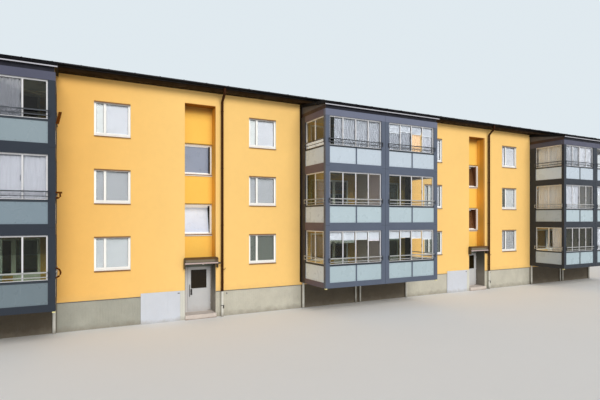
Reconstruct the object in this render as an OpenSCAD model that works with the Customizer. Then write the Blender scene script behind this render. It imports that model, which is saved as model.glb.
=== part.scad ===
// Three-storey apartment block from the 1960s with glazed balcony stacks.
// The origin is on the ground in the middle of the plan. The street front faces -Y,
// the length runs along X and the ground is at z = 0. All sizes are in millimetres.

/* [Building] */
// Length of one stair section, from one balcony stack's middle to the next
section_w = 17550; // [16400:50:19000]
// Storeys of flats
storeys = 3; // [2:1:4]
// Height from floor to floor
storey_h = 2750; // [2650:10:3000]
// Depth of the building over its outer walls
depth = 11000; // [9000:100:13000]
// Height of the ground floor above the ground
floor_z = 1450; // [1350:10:1700]
// Height of the grey base wall
plinth_h = 1150; // [1000:10:1250]
// How far the base wall stands back from the render
plinth_set = 20; // [0:5:60]

/* [Walls and floors] */
// Thickness of the outer walls
wall_t = 300; // [220:10:400]
// Thickness of the base walls
plinth_t = 300; // [220:10:400]
// Thickness of the slab on the ground, which is also the floor of the entrance hall
base_t = 220; // [150:10:260]
// Thickness of the floor slabs
slab_t = 200; // [150:10:260]
// Width of the stairwell opening in the floors
well_w = 2600; // [2200:50:3000]
// Depth of the stairwell opening in the floors
well_d = 4800; // [3600:100:5600]
// Thickness of the low walls under the stairwell's edges
hall_wall_t = 150; // [100:10:200]

/* [Windows] */
// Width of a flat's window
win_w = 1390; // [1100:10:1500]
// Height of a window
win_h = 1415; // [1200:5:1500]
// Height of a window's lower edge above its floor
sill_h = 865; // [750:5:1000]
// How far the window frames stand back in the wall
reveal = 70; // [30:5:110]
// Width of a window's white frame members
frame_w = 75; // [60:5:110]
// Depth of a window's frame
frame_d = 80; // [60:5:110]
// Width of the narrow light of a window
narrow_w = 300; // [220:10:420]
// Thickness of a window's glass
glass_t = 24; // [12:2:36]
// Left edge of the first window from its section's start
win_1_x = 4720; // [4200:10:5400]
// Left edge of the second window from its section's start
win_2_x = 11380; // [10600:10:11900]
// How far the metal sills stand out from the wall
sill_out = 45; // [20:5:80]
// Thickness of the metal sills
sill_t = 20; // [15:5:40]
// Height of the brown sheet's lip at the head of a window
head_h = 50; // [30:5:60]
// How far the head sheets stand out from the wall
head_out = 12; // [6:1:25]

/* [Stair recess] */
// Left edge of the recess from its section's start
recess_x = 8365; // [7600:5:8700]
// Width of the recess
recess_w = 1400; // [1300:10:1600]
// Depth of the recess
recess_d = 600; // [450:10:800]
// Top of the recess below the attic floor's upper face
recess_top_drop = 120; // [100:10:180]
// Thickness of the recess walls
recess_t = 250; // [150:10:300]
// Height of the stair windows
stair_win_h = 1400; // [1200:10:1500]
// Height of the lowest stair window above the ground
stair_win_z = 3730; // [3400:10:3900]
// Tilt of the stair windows that stand ajar, in degrees
sash_tilt = 12; // [0:1:20]
// Width of the members of a stair window's sash
sash_rim = 45; // [35:5:60]
// Depth of the members of a stair window's sash
sash_d = 50; // [40:5:60]

/* [Entrance] */
// Width of the smooth plate on the base wall, left of the recess
plate_w = 1855; // [1400:5:2100]
// Thickness of the smooth plate in front of the render
plate_t = 25; // [15:5:40]
// How far the smooth plate laps over the render's foot
plate_lap = 150; // [80:5:200]
// Top of the landing above the ground
landing_z = 200; // [150:10:215]
// How far the landing stands out from the front
landing_out = 120; // [60:10:300]
// Thickness of the boards that line the recess beside the door
lining_t = 20; // [15:5:30]
// Height of the door frame's top above the ground
door_top = 2300; // [2250:10:2400]
// Height of the dark board between the door frame and the canopy
transom_h = 150; // [100:10:200]
// Width of the door leaf
leaf_w = 1060; // [950:10:1100]
// Thickness of the door leaf
leaf_t = 50; // [40:2:60]
// Running gap round the door leaf
leaf_gap = 5; // [5:1:8]
// Extra gap at the latch edge, which swings in an arc
latch_gap = 3; // [3:1:6]
// Width of the door frame's hinge jamb
jamb_w = 50; // [40:5:70]
// Distance of the hinge axis in front of the leaf's face
hinge_out = 12; // [8:1:16]
// Width of the door's glass
door_glass_w = 744; // [600:10:780]
// Distance of the door's glass from the hinge edge
door_glass_edge = 170; // [120:10:200]
// Lower edge of the door's glass above the ground
door_glass_z = 1253; // [1100:10:1400]
// Height of the door's glass
door_glass_h = 873; // [700:10:880]
// Distance of the door's pull from the latch edge
pull_edge = 90; // [60:5:100]
// Length of the door's pull
pull_h = 550; // [300:10:700]
// How far the canopy stands out from the front
canopy_out = 220; // [150:10:400]
// How far the canopy passes the recess on each side
canopy_lap = 60; // [40:5:100]
// Height of the canopy
canopy_h = 290; // [220:10:340]
// Radius of the canopy's upper corners
canopy_r = 90; // [50:5:110]
// Step down from the canopy's hood to its run through the recess
canopy_step = 60; // [30:5:100]
// Drop of the narrow cheeks at the canopy's ends
cheek_h = 200; // [100:10:240]
// Width of the cheeks
cheek_w = 40; // [30:5:40]

/* [Balconies] */
// Width of one balcony bay
bay_w = 3400; // [3200:20:3700]
// How far the balconies stand out
bay_d = 2380; // [2000:20:2600]
// Width of a front post
post_w = 235; // [180:5:260]
// Depth of a front post
post_d = 170; // [120:5:200]
// Groove between two front posts that stand side by side
post_groove = 10; // [6:2:20]
// Depth of the post at the wall
wall_post_d = 430; // [300:10:500]
// Thickness of the sides of a balcony stack
side_t = 120; // [80:5:150]
// Lowest edge of the balconies above the ground
stack_z = 1280; // [1200:10:1300]
// Drop of the balcony floor below the room floor
balcony_drop = 50; // [20:5:80]
// Thickness of the balcony slabs
balcony_slab_t = 120; // [100:5:120]
// Height of the parapet's lower edge above the room floor
panel_z = 76; // [60:2:120]
// Height of a parapet panel
panel_h = 750; // [700:10:800]
// Thickness of a parapet panel
panel_t = 30; // [20:2:40]
// How far the panels stand back from the posts' face
panel_set = 25; // [15:5:40]
// Width of the bar between two parapet panels
mullion_w = 60; // [50:5:120]
// Height of the dark cap rail on the parapet
cap_h = 50; // [40:5:60]
// Top of the glazing above the room floor
glazing_top = 2440; // [2350:10:2460]
// Top of the top storey's glazing above its floor
top_glazing = 2240; // [2180:10:2300]
// Height of the beam above the top storey's glazing
top_beam_h = 290; // [240:10:320]
// Panes of glass across a bay
panes = 4; // [3:1:5]
// Panes of glass across a side
side_panes = 2; // [2:1:3]
// Width of a pane's profile
profile_w = 50; // [36:2:60]
// Depth of a pane's profile
profile_d = 40; // [30:2:50]
// How far the glazing stands back from the posts' face
glazing_set = 60; // [50:5:90]
// Thickness of the balcony glass
pane_t = 10; // [6:1:14]
// Height of the handrail above the parapet panel
handrail_up = 330; // [280:10:420]
// Height of the lower rail above the parapet panel
rail_up = 180; // [140:10:220]
// Height of the handrail's section
handrail_h = 45; // [30:5:60]
// Height of the lower rail's section
rail_h = 28; // [20:2:40]
// How far the rails stand out from the posts
rail_out = 40; // [30:5:60]
// How far the rails run on over the posts
rail_lap = 70; // [50:5:90]
// Thickness of the screen between two bays
screen_t = 60; // [40:5:80]

/* [Roof] */
// Pitch of the roof in degrees
pitch = 14; // [8:1:16]
// Overhang of the roof at the eaves
eave_out = 410; // [350:10:500]
// Overhang of the roof at the gable ends
verge_out = 200; // [100:10:300]
// Height of the roof's upper edge at the eaves above the attic floor
eave_up = 750; // [720:10:900]
// Vertical thickness of the roof
roof_t = 160; // [120:10:200]
// Height of the eaves' boxed soffit above the attic floor
soffit_up = 450; // [440:10:520]
// Thickness of the eaves' boards
board_t = 20; // [15:5:30]
// Outer radius of the half-round gutters
gutter_r = 65; // [50:5:75]
// Thickness of the gutters' sheet
gutter_t = 6; // [5:1:8]
// Overhang of a balcony roof past the posts
balcony_eave = 90; // [60:10:140]
// Thickness of a balcony roof
balcony_roof_t = 130; // [100:5:150]
// Height of the cladding between the balconies' top beam and their roof at the front
cladding_h = 200; // [160:5:220]

/* [Pipes] */
// Middle of the downpipe from its section's start
pipe_x = 10040; // [9950:5:10200]
// Outer radius of the downpipes
pipe_r = 57; // [45:3:60]
// Distance of the downpipe's middle from the wall
pipe_out = 110; // [100:5:140]
// Slant of the swan neck from the vertical in degrees
neck_a = 50; // [35:5:60]
// Radius of the pipes' bends
bend_r = 120; // [100:5:160]
// Outer radius of the balconies' drain pipes
drain_r = 58; // [40:2:60]

/* [Hidden] */

// Whole stair sections, each with its own entrance door
sections = 2;
// Roundness of pipes and gutters
$fn = 48;
// Seat clearance under the sloping roof
seat = 0.3;
// Length past a face that a cutter runs
over = 50;
// Depth to which the boxes of one piece run into each other
join = 1;

length = sections * section_w + bay_w;
x_left = -length / 2;
x_right = length / 2;
y_front = -depth / 2;
y_back = depth / 2;
attic_z = floor_z + storeys * storey_h;
recess_top = attic_z - recess_top_drop;
eave_z = attic_z + eave_up;
soffit_z = attic_z + soffit_up;
ridge_z = eave_z + (depth / 2 + eave_out) * tan(pitch);
beam_top = floor_z + (storeys - 1) * storey_h + top_glazing + top_beam_h;

section_starts = [for (s = [0 : sections - 1]) x_left + s * section_w];
levels = [for (k = [0 : storeys - 1]) floor_z + k * storey_h];
// The stacks of balconies as [left, right], the first one cut at the party wall
stacks = concat(
    [[x_left, x_left + bay_w]],
    [for (s = [1 : sections]) [x_left + s * section_w - bay_w, x_left + s * section_w + bay_w]]
);
function is_double(s) = s[1] - s[0] > 1.5 * bay_w;
bays = [for (s = stacks) each (is_double(s)
    ? [[s[0], s[0] + bay_w], [s[0] + bay_w, s[1]]]
    : [s])];
front_columns = [for (s = section_starts) each [s + win_1_x, s + win_2_x]];
recess_lefts = [for (s = section_starts) s + recess_x];

// Balcony door and window behind the glazing, seen from the room floor
door_w = 900;
door_h = 2280;
pair_w = win_w + door_w;
function pair_x(b) = (b[0] + b[1] - pair_w) / 2;

// The windows of the rear wall stand in line with the front's rooms
back_columns = [for (s = section_starts)
    each [s + win_1_x - bay_w, s + win_1_x, s + win_2_x, s + win_2_x + bay_w]];
last_back_column = x_right - bay_w + (bay_w - win_w) / 2;

function roof_under(y) = ridge_z - roof_t - abs(y) * tan(pitch);

module box(x, y, z) {
    translate([x[0], y[0], z[0]])
        cube([x[1] - x[0], y[1] - y[0], z[1] - z[0]]);
}

// A flat outline in the Y-Z plane drawn out along X
module along_x(x, points) {
    translate([x[0], 0, 0])
        rotate([90, 0, 90])
            linear_extrude(x[1] - x[0])
                polygon(points);
}

// Everything over the underside of the roof, less the seat
module over_roof() {
    top = ridge_z + 1000;
    reach = depth;
    along_x([x_left - section_w, x_right + section_w], [
        [-reach, roof_under(reach) - seat],
        [0, roof_under(0) - seat],
        [reach, roof_under(reach) - seat],
        [reach, top],
        [-reach, top]
    ]);
}

// Base and floors

module foundation() {
    inner = plinth_set + plinth_t;
    color("gray")
        difference() {
            box([x_left + inner, x_right - inner], [y_front + inner, y_back - inner], [0, base_t]);
            for (x = recess_lefts)
                box([x - recess_t, x + recess_w + recess_t], [y_front, well_y], [-over, base_t + over]);
        }
}

// One stretch of the front's base wall, with returns into the recess
module plinth_stretch(x, left_return, right_return) {
    y = y_front + plinth_set;
    box(x, [y, y + plinth_t], [0, plinth_h]);
    if (left_return)
        box([x[0], x[0] + recess_t], [y, well_y], [0, plinth_h]);
    if (right_return)
        box([x[1] - recess_t, x[1]], [y, well_y], [0, plinth_h]);
}

module plinth_front() {
    edges = concat(
        [x_left + plinth_set],
        [for (x = recess_lefts) each [x, x + recess_w]],
        [x_right - plinth_set]
    );
    color("darkgray")
        for (i = [0 : sections])
            plinth_stretch([edges[2 * i], edges[2 * i + 1]], i > 0, i < sections);
}

module plinth_rear() {
    y = [y_front + plinth_set + plinth_t, y_back - plinth_set];
    color("darkgray")
        difference() {
            box([x_left + plinth_set, x_right - plinth_set], y, [0, plinth_h]);
            box([x_left + plinth_set + plinth_t, x_right - plinth_set - plinth_t],
                [y[0] - over, y[1] - plinth_t], [-over, plinth_h + over]);
        }
}

function well_left(x) = x + recess_w / 2 - well_w / 2;
well_y = y_front + recess_d + recess_t;

// The low walls that carry the ground floor round each stairwell
module hall_walls() {
    y = [y_front + plinth_set + plinth_t, well_y + well_d];
    z = [base_t, floor_z - slab_t];
    color("lightgray")
        for (x = recess_lefts) {
            w = [well_left(x), well_left(x) + well_w];
            difference() {
                box([w[0] - hall_wall_t, w[1] + hall_wall_t], [y[0], y[1] + hall_wall_t], z);
                box(w, [y[0] - over, y[1]], [z[0] - over, z[1] + over]);
            }
        }
}

// A floor slab with the stairwells and the recesses cut out
module floor_slab(top, thick) {
    difference() {
        box([x_left + wall_t, x_right - wall_t], [y_front + wall_t, y_back - wall_t], [top - thick, top]);
        for (x = recess_lefts) {
            box([x - recess_t, x + recess_w + recess_t],
                [y_front, y_front + recess_d + recess_t], [top - thick - over, top + over]);
            box([well_left(x), well_left(x) + well_w],
                [y_front, well_y + well_d], [top - thick - over, top + over]);
        }
    }
}

module ground_floor() {
    color("lightgray") floor_slab(floor_z, slab_t);
}

module upper_floors() {
    color("lightgray")
        for (k = [1 : storeys - 1])
            floor_slab(levels[k], slab_t);
}

module attic_floor() {
    color("lightgray")
        difference() {
            box([x_left + wall_t, x_right - wall_t], [y_front + wall_t, y_back - wall_t],
                [attic_z - slab_t, attic_z]);
            for (x = recess_lefts)
                box([x - recess_t, x + recess_w + recess_t],
                    [y_front, y_front + recess_d + recess_t], [attic_z - slab_t - over, attic_z + over]);
        }
}

// Walls

module front_holes() {
    y = [y_front - over, y_front + wall_t + over];
    for (z = levels) {
        for (x = front_columns)
            box([x, x + win_w], y, [z + sill_h, z + sill_h + win_h]);
        for (b = bays) {
            x = pair_x(b);
            box([x, x + win_w], y, [z + sill_h, z + door_h]);
            box([x + win_w, x + pair_w], y, [z, z + door_h]);
        }
    }
}

module front_walls() {
    edges = concat([x_left], [for (x = recess_lefts) each [x, x + recess_w]], [x_right]);
    color("orange")
        difference() {
            for (i = [0 : sections])
                box([edges[2 * i], edges[2 * i + 1]], [y_front, y_front + wall_t], [plinth_h, ridge_z]);
            front_holes();
            over_roof();
        }
}

module back_wall() {
    color("orange")
        difference() {
            box([x_left, x_right], [y_back - wall_t, y_back], [plinth_h, ridge_z]);
            for (z = levels, x = concat(back_columns, [last_back_column]))
                box([x, x + win_w], [y_back - wall_t - over, y_back + over],
                    [z + sill_h, z + sill_h + win_h]);
            over_roof();
        }
}

module end_walls() {
    y = [y_front + wall_t, y_back - wall_t];
    color("goldenrod")
        difference() {
            for (x = [x_left, x_right - wall_t])
                box([x, x + wall_t], y, [plinth_h, ridge_z]);
            over_roof();
        }
}

stair_sills = [for (k = [0 : storeys - 2]) stair_win_z + k * storey_h];
transom_top = door_top + transom_h;

// The wall over each recess, with the recess's ceiling behind it
module recess_heads() {
    color("orange")
        for (x = recess_lefts)
            difference() {
                union() {
                    box([x, x + recess_w], [y_front, y_front + wall_t], [recess_top, ridge_z]);
                    box([x - recess_t, x + recess_w + recess_t],
                        [y_front + wall_t, y_front + recess_d + recess_t], [recess_top, attic_z]);
                }
                over_roof();
            }
}

// The side walls of the recess
module recess_cheeks() {
    color("orange")
        for (x = recess_lefts, side = [[x - recess_t, x], [x + recess_w, x + recess_w + recess_t]])
            box(side, [y_front + wall_t, y_front + recess_d + recess_t], [plinth_h, recess_top]);
}

// The recess's back wall between the door, the stair windows and the ceiling
module stair_front_walls() {
    starts = concat([transom_top], [for (z = stair_sills) z + stair_win_h]);
    ends = concat(stair_sills, [recess_top]);
    color("orange")
        for (x = recess_lefts, i = [0 : len(starts) - 1])
            box([x, x + recess_w], [y_front + recess_d, well_y], [starts[i], ends[i]]);
}

// Windows

// A white frame with a narrow and a wide light, seen from outside, or one light only
module frame(w, h, lights) {
    difference() {
        cube([w, frame_d, h]);
        if (lights == 2) {
            translate([frame_w, -over, frame_w])
                cube([narrow_w, frame_d + 2 * over, h - 2 * frame_w]);
            translate([2 * frame_w + narrow_w, -over, frame_w])
                cube([w - 3 * frame_w - narrow_w, frame_d + 2 * over, h - 2 * frame_w]);
            glass_seat(w, h);
        } else {
            translate([frame_w, -over, frame_w])
                cube([w - 2 * frame_w, frame_d + 2 * over, h - 2 * frame_w]);
        }
    }
}

// The glass lies behind the middle bar, in the rear half of the frame
module glass_seat(w, h) {
    translate([frame_w, frame_d / 2, frame_w])
        cube([w - 2 * frame_w, frame_d, h - 2 * frame_w]);
}

module glass(w, h) {
    translate([frame_w, frame_d / 2, frame_w])
        cube([w - 2 * frame_w, glass_t, h - 2 * frame_w]);
}

module at_front(x, z) {
    translate([x, y_front + reveal, z]) children();
}

module at_back(x, z) {
    translate([x + win_w, y_back - reveal, z]) rotate(180) children();
}

module at_stair(x, z) {
    translate([x, y_front + recess_d + reveal, z]) children();
}

module window_frames() {
    color("white") {
        for (z = levels, x = front_columns)
            at_front(x, z + sill_h) frame(win_w, win_h, 2);
        for (z = levels, x = concat(back_columns, [last_back_column]))
            at_back(x, z + sill_h) frame(win_w, win_h, 2);
        for (z = stair_sills, x = recess_lefts)
            at_stair(x, z) frame(recess_w, stair_win_h, 1);
    }
}

module window_glass() {
    color("lightsteelblue") {
        for (z = levels, x = front_columns)
            at_front(x, z + sill_h) glass(win_w, win_h);
        for (z = levels, x = concat(back_columns, [last_back_column]))
            at_back(x, z + sill_h) glass(win_w, win_h);
        for (z = levels, b = bays)
            at_front(pair_x(b), z) pair_glass();
    }
}

// The sashes shut against the back of their frames, over which they lap on all sides
sash_lap = 15;
sash_w = recess_w - 2 * frame_w + 2 * sash_lap;
sash_h = stair_win_h - 2 * frame_w + 2 * sash_lap;

// Places a child at the sash of each stair window. Those ajar tilt in at the top about their lower edge:
// the lowest in the first section, and all in the others
module at_sashes() {
    for (i = [0 : sections - 1], k = [0 : storeys - 2]) {
        tilt = i > 0 || k == 0 ? sash_tilt : 0;
        at_stair(recess_lefts[i], stair_sills[k])
            translate([frame_w - sash_lap, frame_d + seat, frame_w - sash_lap])
                rotate([-tilt, 0, 0]) children();
    }
}

module stair_sash() {
    difference() {
        cube([sash_w, sash_d, sash_h]);
        translate([sash_rim, -over, sash_rim])
            cube([sash_w - 2 * sash_rim, sash_d + 2 * over, sash_h - 2 * sash_rim]);
    }
}

module sash_glass() {
    translate([sash_rim, (sash_d - glass_t) / 2, sash_rim])
        cube([sash_w - 2 * sash_rim, glass_t, sash_h - 2 * sash_rim]);
}

module stair_sashes() {
    color("white") at_sashes() stair_sash();
}

module stair_glass() {
    color("lightsteelblue") at_sashes() sash_glass();
}

// A sloping sheet sill with a turned-down lip, in front of the frame's foot
module sill(w) {
    fall = 10;
    lip = 8;
    along_x([0, w], [
        [0, 0],
        [0, sill_t],
        [-reveal - sill_out, sill_t - fall],
        [-reveal - sill_out, -sill_t],
        [-reveal - sill_out + lip, -sill_t],
        [-reveal - sill_out + lip, 0]
    ]);
}

// A narrow sheet under the head of the opening, in front of the frame
module head_sheet(w, h) {
    lip = 6;
    translate([0, -reveal - head_out, h - lip])
        cube([w, reveal + head_out, lip]);
    translate([0, -reveal - head_out, h - head_h])
        cube([w, lip, head_h]);
}

// The metal sills and the sheets at the heads of the windows
module window_sheets() {
    color("sienna") {
        for (z = levels, x = front_columns)
            at_front(x, z + sill_h) {
                sill(win_w);
                head_sheet(win_w, win_h);
            }
        for (z = levels, x = concat(back_columns, [last_back_column]))
            at_back(x, z + sill_h) {
                sill(win_w);
                head_sheet(win_w, win_h);
            }
        for (z = stair_sills, x = recess_lefts)
            at_stair(x, z) sill(recess_w);
    }
}

// Balcony door with the window beside it, in one frame
module pair_frame() {
    h = door_h - sill_h;
    difference() {
        union() {
            translate([0, 0, sill_h]) cube([win_w, frame_d, h]);
            translate([win_w, 0, 0]) cube([door_w, frame_d, door_h]);
        }
        translate([frame_w, -over, sill_h + frame_w])
            cube([win_w - 1.5 * frame_w, frame_d + 2 * over, h - 2 * frame_w]);
        translate([win_w + frame_w, -over, sill_h + frame_w])
            cube([door_w - 2 * frame_w, frame_d + 2 * over, h - 2 * frame_w]);
    }
}

module pair_glass() {
    h = door_h - sill_h;
    translate([frame_w, frame_d / 2, sill_h + frame_w])
        cube([win_w - 1.5 * frame_w, glass_t, h - 2 * frame_w]);
    translate([win_w + frame_w, frame_d / 2, sill_h + frame_w])
        cube([door_w - 2 * frame_w, glass_t, h - 2 * frame_w]);
}

module balcony_door_frames() {
    color("white")
        for (z = levels, b = bays)
            at_front(pair_x(b), z) pair_frame();
}

// Balconies

y_face = y_front - bay_d;
post_in = y_face + post_d;
// Floors and ceilings of the balconies as [bottom, top]
function slab_span(k) = k < storeys
    ? [levels[k] - balcony_drop - balcony_slab_t, levels[k] - balcony_drop]
    : [beam_top - balcony_slab_t, beam_top];
// Top of the glazing of a storey
function glazing_z(k) = levels[k] + (k == storeys - 1 ? top_glazing : glazing_top);
// Beams of a balcony as [bottom, top]
function beam_span(k) = [
    k == 0 ? stack_z : glazing_z(k - 1),
    k == storeys ? beam_top : levels[k] + panel_z
];

module balcony_slabs() {
    color("silver")
        for (s = stacks, k = [0 : storeys])
            box([s[0] + side_t, s[1] - side_t], [post_in, y_front], slab_span(k));
}

function post_span(b, side) = side == 0
    ? [b[0] + post_groove / 2, b[0] + post_w]
    : [b[1] - post_w, b[1] - post_groove / 2];

module balcony_posts() {
    color("slategray") {
        for (b = bays, side = [0, 1])
            box(post_span(b, side), [y_face, post_in], [stack_z, beam_top]);
        for (s = stacks, x = [[s[0], s[0] + side_t], [s[1] - side_t, s[1]]])
            box(x, [y_front - wall_post_d, y_front], [stack_z, beam_top]);
        for (b = bays, k = [0 : storeys - 1])
            translate([(b[0] + b[1] - mullion_w) / 2, y_face, beam_span(k)[1]])
                cube([mullion_w, post_d / 2, panel_h]);
    }
}

module balcony_beams() {
    color("slategray")
        for (k = [0 : storeys]) {
            for (b = bays)
                box([b[0] + post_w, b[1] - post_w], [y_face, post_in], beam_span(k));
            for (s = stacks, x = [[s[0], s[0] + side_t], [s[1] - side_t, s[1]]])
                box(x, [post_in, y_front - wall_post_d], beam_span(k));
        }
}

module balcony_panels() {
    color("lightblue")
        for (k = [0 : storeys - 1]) {
            z = [beam_span(k)[1], beam_span(k)[1] + panel_h];
            for (b = bays) {
                middle = (b[0] + b[1]) / 2;
                y = [y_face + panel_set, y_face + panel_set + panel_t];
                box([b[0] + post_w, middle - mullion_w / 2], y, z);
                box([middle + mullion_w / 2, b[1] - post_w], y, z);
            }
            for (s = stacks, x = [s[0] + panel_set, s[1] - panel_set - panel_t])
                box([x, x + panel_t], [post_in, y_front - wall_post_d], z);
        }
}

function cap_z(k) = beam_span(k)[1] + panel_h;

module balcony_caps() {
    outer = 10;
    inner = glazing_set + profile_d + 20;
    color("slategray")
        for (k = [0 : storeys - 1]) {
            z = [cap_z(k), cap_z(k) + cap_h];
            for (b = bays)
                box([b[0] + post_w, b[1] - post_w], [y_face + outer, y_face + inner], z);
            for (s = stacks, x = [[s[0] + outer, s[0] + inner], [s[1] - inner, s[1] - outer]])
                box(x, [post_in, y_front - wall_post_d], z);
        }
}

// Handrail and lower rail with their end straps, along X, in front of the plane y = 0
module rail_pair(w) {
    rail_d = 30;
    strap_w = 40;
    strap_t = 8;
    strap_in = 5;
    translate([0, -rail_out, handrail_up])
        cube([w, rail_d, handrail_h]);
    translate([0, -rail_out, rail_up])
        cube([w, rail_d, rail_h]);
    for (x = [0, w - strap_w])
        translate([x, strap_in - rail_out, rail_up])
            cube([strap_w, strap_t, handrail_up - rail_up + handrail_h / 2]);
    for (x = [0, w - strap_w], z = [rail_up, handrail_up])
        translate([x, strap_in - rail_out, z])
            cube([strap_w, rail_out - strap_in, rail_h]);
}

module balcony_rails() {
    color("dimgray")
        for (k = [0 : storeys - 1]) {
            for (b = bays)
                translate([b[0] + post_w - rail_lap, y_face, cap_z(k)])
                    rail_pair(bay_w - 2 * post_w + 2 * rail_lap);
            side_w = bay_d - wall_post_d - post_d + 2 * rail_lap;
            for (s = stacks) {
                translate([s[0], y_front - wall_post_d + rail_lap, cap_z(k)])
                    rotate(-90) rail_pair(side_w);
                translate([s[1], post_in - rail_lap, cap_z(k)])
                    rotate(90) rail_pair(side_w);
            }
        }
}

// Sliding glazing: an outer track and a profile at each pane's edge
module glazing(w, h, n) {
    pane = (w - profile_w) / n;
    difference() {
        cube([w, profile_d, h]);
        for (i = [0 : n - 1])
            translate([i * pane + profile_w, -over, profile_w])
                cube([pane - profile_w, profile_d + 2 * over, h - 2 * profile_w]);
        glazing_seat(w, h);
    }
}

module glazing_seat(w, h) {
    translate([profile_w, profile_d - pane_t, profile_w])
        cube([w - 2 * profile_w, pane_t + over, h - 2 * profile_w]);
}

module pane_sheet(w, h) {
    translate([profile_w, profile_d - pane_t, profile_w])
        cube([w - 2 * profile_w, pane_t, h - 2 * profile_w]);
}

// Places a child at each opening over the parapets, with $w its width, $h its height and $n its panes
module at_glazing() {
    for (k = [0 : storeys - 1]) {
        z = cap_z(k) + cap_h;
        $h = glazing_z(k) - z;
        for (b = bays) {
            $w = bay_w - 2 * post_w;
            $n = panes;
            translate([b[0] + post_w, y_face + glazing_set, z]) children();
        }
        for (s = stacks) {
            $w = bay_d - wall_post_d - post_d;
            $n = side_panes;
            translate([s[0] + glazing_set, y_front - wall_post_d, z]) rotate(-90) children();
            translate([s[1] - glazing_set, post_in, z]) rotate(90) children();
        }
    }
}

module balcony_glazing_frames() {
    color("gainsboro") at_glazing() glazing($w, $h, $n);
}

module balcony_glass() {
    color("lightcyan") at_glazing() pane_sheet($w, $h);
}

module balcony_screens() {
    color("white")
        for (s = stacks, k = [0 : storeys - 1])
            if (is_double(s)) {
                middle = (s[0] + s[1]) / 2;
                box([middle - screen_t / 2, middle + screen_t / 2], [post_in, y_front],
                    [slab_span(k)[1], slab_span(k + 1)[0]]);
            }
}

// A balcony roof falls from under the main eaves to the front posts
roof_lip = y_face - balcony_eave;
lip_z = beam_top + cladding_h;
under_soffit = 10;
high_z = soffit_z - under_soffit - balcony_roof_t;
function balcony_under(y) = lip_z + (high_z - lip_z) * (y - roof_lip) / (y_front - roof_lip);

module balcony_roofs() {
    // Overhang past the stack's sides
    lap = 60;
    color("darkslategray")
        for (s = stacks)
            along_x([s[0] - lap, s[1] + lap], [
                [roof_lip, lip_z],
                [y_front, high_z],
                [y_front, high_z + balcony_roof_t],
                [roof_lip, lip_z + balcony_roof_t]
            ]);
}

// Sheet cladding between the top beams and the balcony roof
module balcony_roof_sides() {
    set = 40;
    sheet = 20;
    color("gray")
        for (s = stacks)
            difference() {
                along_x([s[0] + set, s[1] - set], [
                    [y_face + set, beam_top],
                    [y_front, beam_top],
                    [y_front, balcony_under(y_front) - seat],
                    [y_face + set, balcony_under(y_face + set) - seat]
                ]);
                box([s[0] + set + sheet, s[1] - set - sheet],
                    [y_face + set + sheet, y_front + over], [beam_top - over, soffit_z + over]);
            }
}

// Roof

x_verge = [x_left - verge_out, x_right + verge_out];
y_eave = y_front - eave_out;

// Half the joint between the slopes at the ridge
ridge_joint = 2;

module roof_half() {
    along_x(x_verge, [
        [y_eave, eave_z],
        [-ridge_joint, ridge_z - ridge_joint * tan(pitch)],
        [-ridge_joint, ridge_z - ridge_joint * tan(pitch) - roof_t],
        [y_eave, eave_z - roof_t]
    ]);
}

module ridge_cap() {
    half = 150;
    cap = 12;
    drop = half * tan(pitch);
    along_x(x_verge, [
        [-half, ridge_z - drop + seat],
        [0, ridge_z + seat],
        [half, ridge_z - drop + seat],
        [half, ridge_z - drop + cap],
        [0, ridge_z + cap],
        [-half, ridge_z - drop + cap]
    ]);
}

// The two slopes and the cap over the joint between them
module main_roof() {
    color("darkslategray") {
        for (side = [0, 1])
            mirror([0, side, 0]) roof_half();
        ridge_cap();
    }
}

// The boards at the gable ends, which rise a little over the roof
module verge_boards() {
    up = 20;
    low = -roof_t - 40;
    color("dimgray")
        for (x = [x_verge[0] - board_t, x_verge[1]])
            along_x([x, x + board_t], [
                [y_eave, eave_z + up],
                [0, ridge_z + up],
                [-y_eave, eave_z + up],
                [-y_eave, eave_z + low],
                [0, ridge_z + low],
                [y_eave, eave_z + low]
            ]);
}

// The boxed eaves: a fascia with a soffit behind it
module eave_boards() {
    color("dimgray")
        for (side = [0, 1])
            mirror([0, side, 0])
                along_x(x_verge, [
                    [y_eave, soffit_z],
                    [y_front, soffit_z],
                    [y_front, soffit_z + board_t],
                    [y_eave + board_t, soffit_z + board_t],
                    [y_eave + board_t, eave_z - roof_t - seat],
                    [y_eave, eave_z - roof_t - seat]
                ]);
}

gutter_y = y_eave - gutter_r - seat;
gutter_z = eave_z - roof_t / 2;

// A half-round gutter with its closed ends
module gutter() {
    translate([x_verge[0], gutter_y, gutter_z])
        rotate([90, 0, 90])
            linear_extrude(x_verge[1] - x_verge[0])
                difference() {
                    circle(gutter_r);
                    circle(gutter_r - gutter_t);
                    translate([-2 * gutter_r, 0]) square([4 * gutter_r, 2 * gutter_r]);
                }
}

module gutters() {
    color("black")
        for (side = [0, 1])
            mirror([0, side, 0]) gutter();
}

// Pipes

// How much thinner a bend is than the straight lengths that its ends sit in
slip = 1;

// A bend in the Y-Z plane that starts downwards and turns by a towards +Y
module bend(a) {
    translate([0, bend_r, 0])
        rotate([90, 0, 90])
            rotate(180)
                rotate_extrude(angle = a)
                    translate([bend_r, 0]) circle(pipe_r - slip);
}

// A length of pipe downwards, with a socket collar over each of its ends
module pipe_run(h, top_collar = true, foot_collar = true) {
    lap = 5;
    translate([0, 0, -h - (foot_collar ? lap : 0)])
        cylinder(r = pipe_r, h = h + (foot_collar ? lap : 0) + (top_collar ? lap : 0));
    if (top_collar) collar();
    if (foot_collar) translate([0, 0, -h]) collar();
}

module collar() {
    collar_h = 44;
    collar_t = 4;
    translate([0, 0, -collar_h / 2]) cylinder(r = pipe_r + collar_t, h = collar_h);
}

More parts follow.
